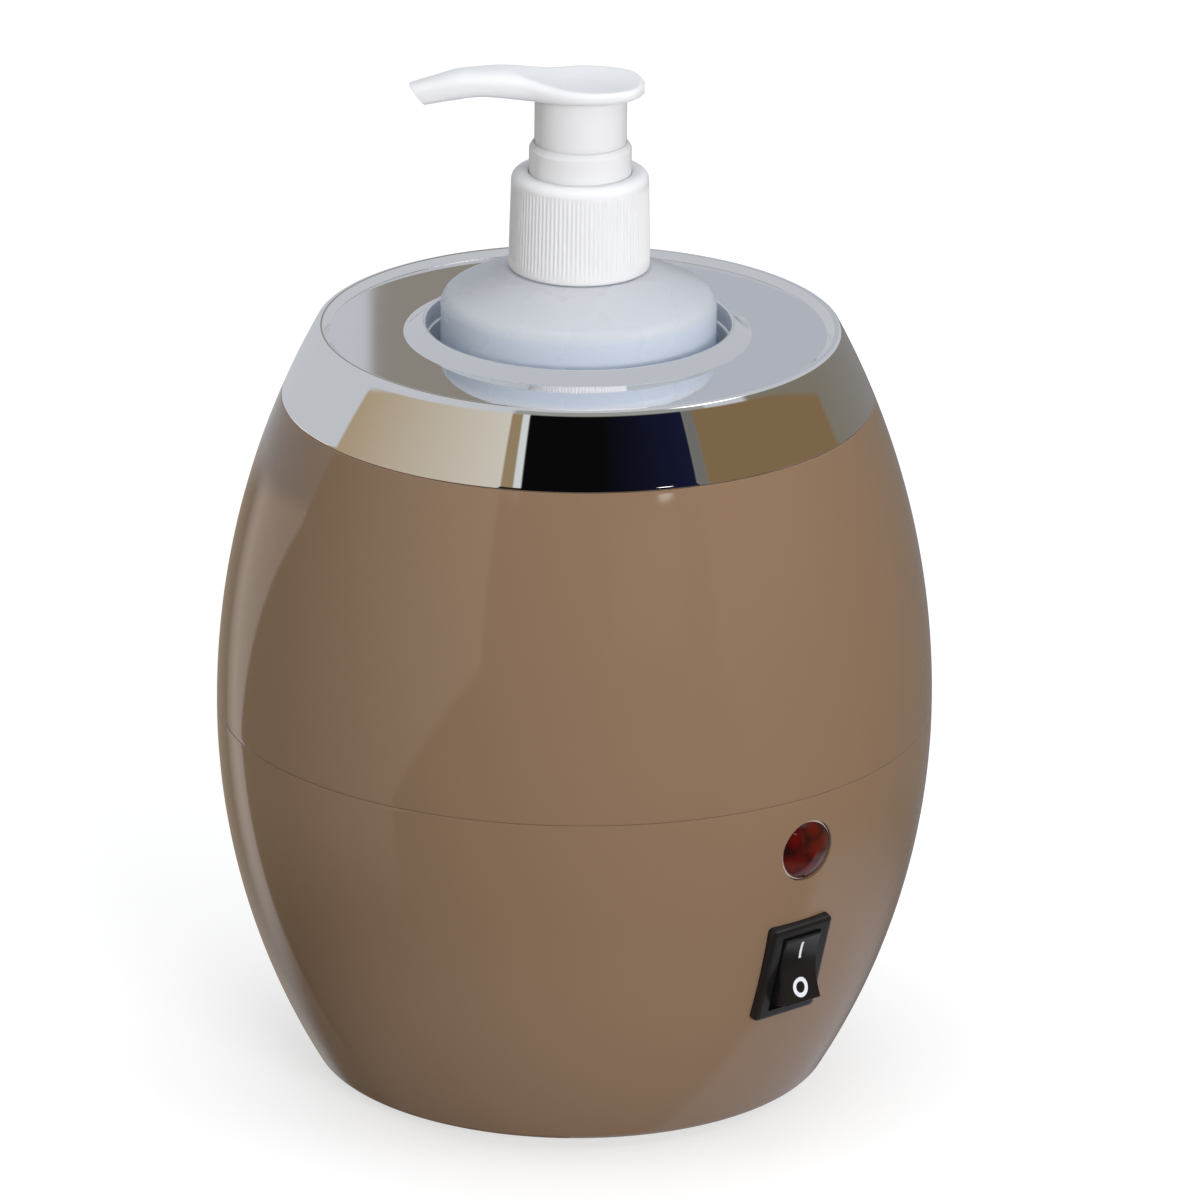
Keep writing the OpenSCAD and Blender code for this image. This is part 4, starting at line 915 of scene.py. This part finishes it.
def lamp_lens():
    dome_h = LENS_H - LENS_EDGE
    dome_r = (LENS_R ** 2 + dome_h ** 2) / (2 * dome_h)
    start = math.degrees(math.asin((dome_r - dome_h) / dome_r))
    plug = LAMP_TUBE_R - LAMP_TUBE_WALL - FIT_GAP
    hollow = plug - LENS_WALL
    outline = [(hollow, -LENS_PLUG), (plug, -LENS_PLUG), (plug, 0), (LENS_R, 0)]
    outline += arc((0, LENS_H - dome_r), dome_r, start, 90, 20)[:-1]
    outline += [(0.0, LENS_H), (0.0, LENS_EDGE), (hollow, LENS_EDGE)]
    piece = lathe("lamp_lens_form", outline, SMALL_SEGMENTS)
    place(piece, on_front(LAMP_Z, LAMP_BEZEL_T - lamp_sink()))
    return piece


# Bottle and pump


def bottle_line(inset, floor_z):
    """The bottle's profile from its middle to the shoulder's slope, moved in by a wall thickness."""
    slope_start = 90 - SHOULDER_SLOPE_DEGREES
    return (
        [(0.0, floor_z)]
        + arc((BOTTLE_R - BOTTLE_FOOT, floor_z + BOTTLE_FOOT - inset), BOTTLE_FOOT - inset, -90, 0, 8)
        + arc((BOTTLE_R - SHOULDER_EDGE, EDGE_Z), SHOULDER_EDGE - inset, 0, slope_start, 16)
    )


def bottle():
    neck_under = NECK_Z - BOTTLE_WALL
    outline = rounded(
        plain(bottle_line(0.0, BOTTLE_Z))
        + [(NECK_FLAT_R, NECK_Z, NECK_EDGE)]
        + plain([(NECK_R, NECK_Z), (NECK_R, NECK_TOP), (NECK_BORE_R, NECK_TOP)])
        + plain([(NECK_BORE_R, neck_under), (NECK_FLAT_R - BOTTLE_WALL / 2, neck_under)])
        + plain(bottle_line(BOTTLE_WALL, BOTTLE_Z + BOTTLE_FLOOR)[::-1])
    )
    return lathe("bottle_form", outline)


def closure():
    """The ribbed wall is a lathe whose radius drops between the ribs."""
    rib_steps = 8
    wall_rows = 24
    segments = CLOSURE_RIBS * rib_steps
    wall_z = CLOSURE_Z + RIB_START
    round_z = CLOSURE_TOP - CLOSURE_ROUND
    hole = CHAPLET_R + CLOSURE_HOLE_GAP
    foot = arc((CLOSURE_R - CLOSURE_FOOT, CLOSURE_Z + CLOSURE_FOOT), CLOSURE_FOOT, -90, 0, 5)
    crown = arc((CLOSURE_TOP_R - CLOSURE_ROUND, round_z), CLOSURE_ROUND, CLOSURE_CROWN_START, 90, 8)
    rows = plain([(CLOSURE_BORE_R, CLOSURE_Z)] + foot)
    for i in range(wall_rows + 1):
        share = i / wall_rows
        radius = CLOSURE_R + (CLOSURE_TOP_R - CLOSURE_R) * share
        fade = min(1.0, share * RIB_FADE_LOW, (1 - share) * RIB_FADE_HIGH)
        rows.append((radius, wall_z + (round_z - wall_z) * share, fade))
    rows += plain(crown)
    rows += plain([(hole + CLOSURE_HOLE_EDGE, CLOSURE_TOP), (hole, CLOSURE_TOP - CLOSURE_HOLE_EDGE)])
    rows += plain([(hole, CLOSURE_UNDER), (CLOSURE_BORE_R, CLOSURE_UNDER)])
    verts, faces = lathe_mesh([(r, z) for r, z, _ in rows], segments)
    points = []
    for index, (x, y, z) in enumerate(verts):
        r, _, depth = rows[index // segments]
        a = 2 * math.pi * (index % segments) / segments
        wave = 0.5 - 0.5 * math.cos(CLOSURE_RIBS * a)
        scale = (r - RIB_H * depth * wave) / r
        points.append((x * scale, y * scale, z))
    piece = make_piece("closure_form", points, faces, CLOSURE_SHARP)
    outward(piece)
    return piece


def pump_collar():
    bore = SKIRT_R + FIT_GAP
    guide = STEM_R + FIT_GAP
    outline = rounded([
        (guide, FLANGE_TOP, 0.0),
        (CHAPLET_R, FLANGE_TOP, 0.0),
        (CHAPLET_R, CHAPLET_TOP - CHAPLET_CHAMFER, CHAPLET_ROUND),
        (bore + CHAPLET_LAND, CHAPLET_TOP, CHAPLET_EDGE),
        (bore, CHAPLET_TOP, 0.0),
        (bore, FLANGE_TOP + CHAPLET_FLOOR, 0.0),
        (guide, FLANGE_TOP + CHAPLET_FLOOR, 0.0),
    ])
    return lathe("pump_collar_form", outline, PUMP_SEGMENTS)


def between(rows, index, share):
    """A smooth curve through the section rows."""
    last = len(rows) - 1
    picks = [rows[max(index - 1, 0)], rows[index], rows[index + 1], rows[min(index + 2, last)]]
    result = []
    for p, q, r, t in zip(*picks):
        slope_q = (r - p) / 2
        slope_r = (t - q) / 2
        s2, s3 = share ** 2, share ** 3
        result.append((2 * s3 - 3 * s2 + 1) * q + (s3 - 2 * s2 + share) * slope_q
                      + (3 * s2 - 2 * s3) * r + (s3 - s2) * slope_r)
    return result


def head_ring(section):
    """One section of the head, pressed down where the thumb's dish reaches it."""
    sides = 72
    along, half, low, high = section
    ring = []
    for k in range(sides):
        a = 2 * math.pi * k / sides
        c, s = math.cos(a), math.sin(a)
        across = half * math.copysign(abs(c) ** (2 / HEAD_POWER), c)
        up = (low + high) / 2 + (high - low) / 2 * math.copysign(abs(s) ** (2 / HEAD_POWER), s)
        reach = DISH_R ** 2 - (along - DISH_PLACE) ** 2 - across ** 2
        if s > 0 and reach > 0:
            gap = up - (DISH_Z - math.sqrt(reach))
            up -= 0.5 * (gap + math.hypot(gap, DISH_BLEND))
        ring.append((along, across, up))
    return ring


def pump_head():
    parts = 5
    sections = []
    for i in range(len(HEAD_SECTIONS) - 1):
        sections += [between(HEAD_SECTIONS, i, k / parts) for k in range(parts)]
    sections.append(HEAD_SECTIONS[-1])
    form = skin("head_form", [head_ring(section) for section in sections])
    tip = extrude("cutter", box_outline(TIP_CUT_W, TIP_CUT_W), 0, TIP_CUT_H)
    face_angle = math.atan2(TIP_TOP[1] - TIP_LOW[1], TIP_TOP[0] - TIP_LOW[0])
    tip_place = Matrix.Translation(Vector((TIP_LOW[0], 0, TIP_LOW[1])) * MM)
    place(tip, tip_place @ Matrix.Rotation(math.pi - face_angle, 4, "Y"))
    mouth = disc("cutter", MOUTH_R, -MOUTH_DEPTH, MOUTH_OUT, MOUTH_SEGMENTS)
    mouth_place = Matrix.Translation(Vector((MOUTH_PLACE[0], 0, MOUTH_PLACE[1])) * MM)
    place(mouth, mouth_place @ Matrix.Rotation(MOUTH_TURN, 4, "Y"))
    cut(form, [tip, mouth])
    foot = SKIRT_Z - HEAD_Z
    skirt_bore = SKIRT_R - SKIRT_WALL
    skirt = lathe("skirt", rounded([
        (skirt_bore, foot, SKIRT_EDGE),
        (SKIRT_R, foot, SKIRT_EDGE),
        (SKIRT_R, HEAD_JOIN, 0.0),
        (skirt_bore, HEAD_JOIN, 0.0),
    ]), PUMP_SEGMENTS)
    hub_bore = STEM_R + HUB_GAP
    hub_outline = [(hub_bore, foot), (HUB_R, foot), (HUB_R, HEAD_JOIN), (hub_bore, HEAD_JOIN)]
    hub = lathe("hub", hub_outline, HUB_SEGMENTS)
    piece = join("pump_head_form", [form, skirt, hub])
    place(piece, Matrix.Translation(Vector((0, 0, HEAD_Z)) * MM) @ Matrix.Rotation(SPOUT_TURN, 4, "Z"))
    smooth(piece, HEAD_SHARP)
    return piece


def pump_spring():
    """The wire's round section is swept along the coil."""
    steps = 32
    sides = 10
    wire_r = SPRING_WIRE / 2
    pitch = (SPRING_TOP - SPRING_Z - SPRING_WIRE) / SPRING_TURNS
    slope = math.atan(pitch / (2 * math.pi * SPRING_R))
    rings = []
    for i in range(SPRING_TURNS * steps + 1):
        turn = 2 * math.pi * i / steps
        ring = []
        for k in range(sides):
            side = 2 * math.pi * k / sides
            out = SPRING_R + wire_r * math.cos(side)
            across = wire_r * math.sin(side)
            along = across * math.sin(slope)
            x = out * math.cos(turn) - along * math.sin(turn)
            y = out * math.sin(turn) + along * math.cos(turn)
            ring.append((x, y, SPRING_Z + wire_r + pitch * i / steps - across * math.cos(slope)))
        rings.append(ring)
    return skin("pump_spring_form", rings)


# Every finer piece with its CAD node, its body and its surface
stand_for(lower_shell(), "housing", body_plastic, "lower_shell")
stand_for(upper_shell(), "housing", body_plastic, "upper_shell")
stand_for(chrome_ring(), "housing", chrome, "chrome_ring")
plate = stand_for(top_plate(), "housing", polished_plate, "top_plate")
plate.data.materials.append(cup_metal)
for face in plate.data.polygons:
    if math.hypot(face.center.x, face.center.y) < (COLLAR_BORE_R + BORE_MARGIN) * MM:
        face.material_index = 1
stand_for(heating_cup(), "housing", cup_metal, "heating_cup")
stand_for(switch_housing(), "housing", black_plastic, "switch_housing")
stand_for(lamp_bezel(), "housing", pale_plastic, "lamp_bezel")
stand_for(lamp_lens(), "housing", red_lens, "lamp_lens")
stand_for(switch_rocker(), "switch_rocker", rocker_black, "switch_rocker")
stand_for(bottle(), "bottle", bottle_plastic, "bottle", "bottle_neck")
stand_for(closure(), "closure", white_plastic, "closure")
stand_for(pump_collar(), "pump_base", white_plastic, "pump_collar")
stand_for(pump_head(), "pump_head", white_plastic, "pump_head")
spring = stand_for(pump_spring(), "pump_base", steel, "pump_spring")
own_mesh(spring)
for mark in rocker_marks():
    dress(mark, mark_white)
    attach(mark, "switch_rocker")

# Surfaces of the CAD nodes that are shown as they are; the rest are steel
NODE_SHARP = 35.0
NODE_FINISH = {
    "heater_band": heater_metal,
    "thermostat": dark_plastic,
    "thermal_fuse": brass,
    "base_plate": dark_plastic,
    "rubber_feet": rubber,
    "switch_terminals": brass,
    "lamp_nut": dark_plastic,
    "neon_bulb": clear_glass,
    "cord_gland": black_plastic,
    "gland_nut": black_plastic,
    "terminal_block": pale_plastic,
    "line_wires": brown_cover,
    "neutral_wires": blue_cover,
    "pump_housing": white_plastic,
    "neck_gasket": gasket_foam,
    "dip_tube": clear_plastic,
    "pump_stem": white_plastic,
    "piston": clear_plastic,
}
for name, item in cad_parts.items():
    dress(item, NODE_FINISH.get(name, steel))
    smooth(item, NODE_SHARP)

# Camera: fitted to the photograph's rim, parting line and outline, with places in its pixels
PICTURE = 1200
FOCAL_PIXELS = 10711
AIM_PIXEL = (574.42, 694.25)
AIM = Vector((0, 0, 0.076))
SENSOR = 36.0
CLIP_END = 50.0
CAMERA_TURN = math.radians(-40.4)
CAMERA_RISE = math.radians(20.485)
CAMERA_AWAY = 2.098
CAMERA_ROLL = math.radians(0.631)


def direction(turn, rise):
    """A unit vector at a turn from the front, positive to the right, and a rise."""
    return Vector((math.sin(turn) * math.cos(rise), -math.cos(turn) * math.cos(rise), math.sin(rise)))


camera_data = bpy.data.cameras.new("camera")
camera_data.sensor_width = SENSOR
camera_data.lens = SENSOR * FOCAL_PIXELS / PICTURE
camera_data.shift_x = (PICTURE / 2 - AIM_PIXEL[0]) / PICTURE
camera_data.shift_y = (AIM_PIXEL[1] - PICTURE / 2) / PICTURE
camera_data.clip_end = CLIP_END
camera = bpy.data.objects.new("camera", camera_data)
camera.location = AIM + CAMERA_AWAY * direction(CAMERA_TURN, CAMERA_RISE)
gaze = (AIM - camera.location).to_track_quat("-Z", "Y").to_matrix().to_4x4()
camera.matrix_world = Matrix.Translation(camera.location) @ gaze @ Matrix.Rotation(CAMERA_ROLL, 4, "Z")
bpy.context.collection.objects.link(camera)
bpy.context.scene.camera = camera
bpy.context.scene.view_settings.view_transform = "Standard"


# Floor and lights

# The floor's half width in millimetres and its tints; its glow near the warmer and far away, in metres
FLOOR_HALF = 4000
FLOOR_DARK = (0.49, 0.49, 0.49)
FLOOR_LIGHT = (0.51, 0.51, 0.51)
FLOOR_DRIFT = 3.0
NEAR_GLOW = 0.62
FAR_GLOW = 0.85
NEAR_AWAY = 0.3
FAR_AWAY = 2.0


def floor():
    """A pale floor that shows white to the camera and keeps the warmer's shadow."""
    half = FLOOR_HALF
    corners = [(-half, -half, 0), (half, -half, 0), (half, half, 0), (-half, half, 0)]
    piece = make_piece("floor", corners, [[0, 1, 2, 3]])
    surface = Surface("floor_white")
    surface.feed(surface.blend(surface.noise(FLOOR_DRIFT), FLOOR_DARK, FLOOR_LIGHT), "Base Color")
    surface.give(Roughness=0.9, Specular_IOR_Level=0.0, Emission_Color=(1.0, 1.0, 1.0, 1.0))
    away = surface.add("ShaderNodeVectorMath", operation="LENGTH")
    surface.link(surface.spot, away.inputs[0])
    reach = surface.span(away.outputs["Value"], NEAR_AWAY, FAR_AWAY, NEAR_GLOW, FAR_GLOW)
    ray = surface.add("ShaderNodeLightPath")
    glow = surface.add("ShaderNodeMath", operation="MULTIPLY")
    surface.link(ray.outputs["Is Camera Ray"], glow.inputs[0])
    surface.link(reach, glow.inputs[1])
    surface.feed(glow.outputs["Value"], "Emission Strength")
    dress(piece, surface.material)
    piece.visible_glossy = False


def area_light(name, turn, rise, away, size, power, colour):
    """A soft light aimed at the warmer; its turn counts from the camera, positive to the right."""
    data = bpy.data.lights.new(name, "AREA")
    data.shape = "RECTANGLE"
    data.size, data.size_y = size
    data.energy = power
    data.color = colour
    light = bpy.data.objects.new(name, data)
    light.visible_glossy = False
    spot = direction(CAMERA_TURN + math.radians(turn), math.radians(rise)) * away
    light.location = AIM + spot
    light.rotation_euler = (-spot).to_track_quat("-Z", "Y").to_euler()
    bpy.context.collection.objects.link(light)


floor()
area_light("key", 24, 13, 2.4, (1.0, 0.8), 42, (1.0, 0.99, 0.98))
area_light("top", 0, 86, 1.6, (1.0, 1.0), 8, (0.98, 0.99, 1.0))


class Sky(Tree):
    """The studio that glossy surfaces reflect, painted over direction: turn and rise in degrees."""

    def __init__(self, colour):
        world = bpy.data.worlds.new("studio")
        bpy.context.scene.world = world
        world.use_nodes = True
        super().__init__(world.node_tree)
        self.tree.nodes.clear()
        spot = self.add("ShaderNodeTexCoord").outputs["Generated"]
        turned = self.add("ShaderNodeVectorRotate", rotation_type="Z_AXIS")
        turned.inputs["Angle"].default_value = -CAMERA_TURN
        self.link(spot, turned.inputs["Vector"])
        split = self.add("ShaderNodeSeparateXYZ")
        self.link(turned.outputs["Vector"], split.inputs["Vector"])
        back = self.work("MULTIPLY", split.outputs["Y"], -1.0)
        self.turn = self.degrees(self.work("ARCTAN2", split.outputs["X"], back))
        self.rise = self.degrees(self.work("ARCSINE", split.outputs["Z"]))
        self.colour = colour

    def work(self, operation, *values):
        """One step of arithmetic on numbers or other nodes' values."""
        made = self.add("ShaderNodeMath", operation=operation)
        for slot, value in enumerate(values):
            if isinstance(value, (int, float)):
                made.inputs[slot].default_value = value
            else:
                self.link(value, made.inputs[slot])
        return made.outputs["Value"]

    def degrees(self, value):
        return self.work("MULTIPLY", value, 180 / math.pi)

    def line(self, value, slope, start):
        """A value times a slope, from a start."""
        return self.work("ADD", self.work("MULTIPLY", value, slope), start)

    def step(self, value, edge, soft):
        """0 below the edge and 1 above it; the edge is a number or another node's value."""
        past = self.work("DIVIDE", self.work("SUBTRACT", value, edge), soft)
        return self.span(past, -0.5, 0.5, kind="SMOOTHSTEP")

    def paint(self, mask, colour):
        """Lays a colour, or another node's colour, over what is painted so far."""
        self.colour = self.blend(mask, self.colour, colour)

    def fade(self, start, end, first, last):
        """A colour that changes over the turn."""
        return self.blend(self.span(self.turn, start, end), first, last)

    def panel(self, left, right, low, top, colour, soft=1.0, top_soft=1.0, low_soft=6.0):
        """Paints a panel between two turns and two rises."""
        wide = self.work("SUBTRACT", self.step(self.turn, left, soft), self.step(self.turn, right, soft))
        above = self.step(self.rise, low, low_soft)
        tall = self.work("SUBTRACT", above, self.step(self.rise, top, top_soft))
        mask = self.work("MULTIPLY", wide, self.work("MAXIMUM", tall, 0.0))
        self.paint(self.work("MAXIMUM", mask, 0.0), colour)

    def oval(self, turn, rise, half_w, half_h, colour):
        """Paints an oval lamp with a soft edge."""
        across = self.work("DIVIDE", self.work("SUBTRACT", self.turn, turn), half_w)
        up = self.work("DIVIDE", self.work("SUBTRACT", self.rise, rise), half_h)
        squares = self.work("ADD", self.work("MULTIPLY", across, across), self.work("MULTIPLY", up, up))
        outside = self.step(self.work("SQRT", squares), 1.0, OVAL_SOFT)
        self.paint(self.work("SUBTRACT", 1.0, outside), colour)


# The soft share of an oval lamp's radius
OVAL_SOFT = 0.6

# The walls' top, which bends down towards the sides: its height over its distance, and the bend
WALL_HEIGHT = 0.775
WALL_BEND = math.radians(0.66)

# Edges that lean: a place, and degrees along it per degree of rise or turn
LEFT_TURN = -109.5
LEFT_LEAN_ABOVE = 0.52
LEFT_LEAN_BELOW = 1.26
RIGHT_LEAN_BELOW = 1.5
LEAN_END = -20.0
STRIP_TOP = 34.6
STRIP_LEAN = 0.3
GREY_TOP = 62.8
GREY_LEAN = -0.4

# Turns and rises of the studio's edges that more than one panel meets
BACK_LEFT = -181
BACK_RIGHT = 181
FLOOR_RIGHT = 175
GREY_RIGHT = 172
TAN_RIGHT = 117
NAVY_RIGHT = 48.2
NAVY_LEFT = -22
STRIPE_EDGE = -25.2
BEIGE_RIGHT = -30.2
STRIPE_LOW = 23.5
NADIR = -90
PLATE_LOW = 5
PLATE_HIGH = 35


def studio():
    sky = Sky((0.54, 0.56, 0.59))

    # Edges that lean or bend
    bend = sky.work("COSINE", sky.work("MULTIPLY", sky.turn, WALL_BEND))
    wall_top = sky.degrees(sky.work("ARCTANGENT", sky.work("MULTIPLY", bend, WALL_HEIGHT)))
    below = sky.work("MAXIMUM", sky.work("MINIMUM", sky.rise, 0.0), LEAN_END)
    above = sky.work("MAXIMUM", sky.rise, 0.0)
    left_edge = sky.line(below, LEFT_LEAN_BELOW, sky.line(above, LEFT_LEAN_ABOVE, LEFT_TURN))
    right_edge = sky.line(below, RIGHT_LEAN_BELOW, BEIGE_RIGHT)
    strip_top = sky.line(sky.turn, STRIP_LEAN, STRIP_TOP)
    grey_top = sky.line(sky.turn, GREY_LEAN, GREY_TOP)

    # Colours that change over the turn
    glare = sky.fade(-151, -141, (0.36, 0.29, 0.22), (1.1, 0.95, 0.85))
    beige = sky.fade(-103, -30, (0.40, 0.31, 0.20), (0.61, 0.57, 0.49))
    navy = sky.fade(10, 48, (0.003, 0.003, 0.003), (0.008, 0.010, 0.031))
    grey = sky.fade(TAN_RIGHT, GREY_RIGHT, (0.20, 0.18, 0.14), (0.25, 0.24, 0.24))

    # Green-grey above the front wall
    sky.panel(-30, 60, 20, 52, (0.31, 0.32, 0.29), 3.0, 3.0)
    # Low left: a dark ground and the bright strip above it
    sky.panel(BACK_LEFT, left_edge, NADIR, -34, (0.20, 0.16, 0.13), 1.5, 10.0)
    sky.panel(BACK_LEFT, left_edge, -30, strip_top, glare, 1.5, 2.0, 14.0)
    # Ground in front: dark, lighter near the foot and pale at the right
    sky.panel(left_edge, FLOOR_RIGHT, NADIR, 0, (0.08, 0.06, 0.04), 1.5, 10.0)
    sky.panel(left_edge, FLOOR_RIGHT, NADIR, -45, (0.30, 0.24, 0.20), 1.5, 20.0)
    sky.panel(92, FLOOR_RIGHT, -80, -28, (0.50, 0.50, 0.54), 10.0, 14.0)
    # Beige wall, and the dark, brown and white stripes at its right
    sky.panel(left_edge, right_edge, -30, wall_top, beige, 1.5, 1.0, 16.0)
    sky.panel(right_edge, -20, -12, STRIPE_LOW, (0.02, 0.016, 0.012))
    sky.panel(BEIGE_RIGHT, STRIPE_EDGE, STRIPE_LOW, wall_top, (0.30, 0.22, 0.125), 1.0, 1.0, 1.0)
    sky.panel(STRIPE_EDGE, NAVY_LEFT, STRIPE_LOW, wall_top, (0.63, 0.66, 0.65), 1.0, 1.0, 1.0)
    # Grey and tan walls at the right, a narrow grey post, and the navy wall in the middle
    sky.panel(80, GREY_RIGHT, -25, grey_top, grey, 4.0, 4.0)
    sky.panel(52, TAN_RIGHT, -25, wall_top, (0.215, 0.142, 0.072), 3.0)
    sky.panel(NAVY_RIGHT, 53, 0, wall_top, (0.16, 0.157, 0.143), 1.5)
    sky.panel(NAVY_LEFT, NAVY_RIGHT, -8, wall_top, navy)
    # What the flat plate reflects from behind: tan at the left and lilac at the right
    sky.panel(BACK_LEFT, -178.83, PLATE_LOW, PLATE_HIGH, (0.265, 0.245, 0.21), 0.06)
    sky.panel(GREY_RIGHT, BACK_RIGHT, PLATE_LOW, PLATE_HIGH, (0.462, 0.486, 0.537), 0.5)
    # A small lamp and a large one
    sky.oval(35.0, 23.3, 3.2, 0.7, (5.0, 4.9, 4.8))
    sky.oval(68.0, 42.0, 20.0, 8.0, (2.6, 2.6, 2.7))

    # The camera itself sees white behind the floor
    ray = sky.add("ShaderNodeLightPath")
    shown = sky.blend(ray.outputs["Is Camera Ray"], sky.colour, (1.0, 1.0, 1.0))
    shine = sky.add("ShaderNodeBackground")
    sky.link(shown, shine.inputs["Color"])
    end = sky.add("ShaderNodeOutputWorld")
    sky.link(shine.outputs["Background"], end.inputs["Surface"])


studio()
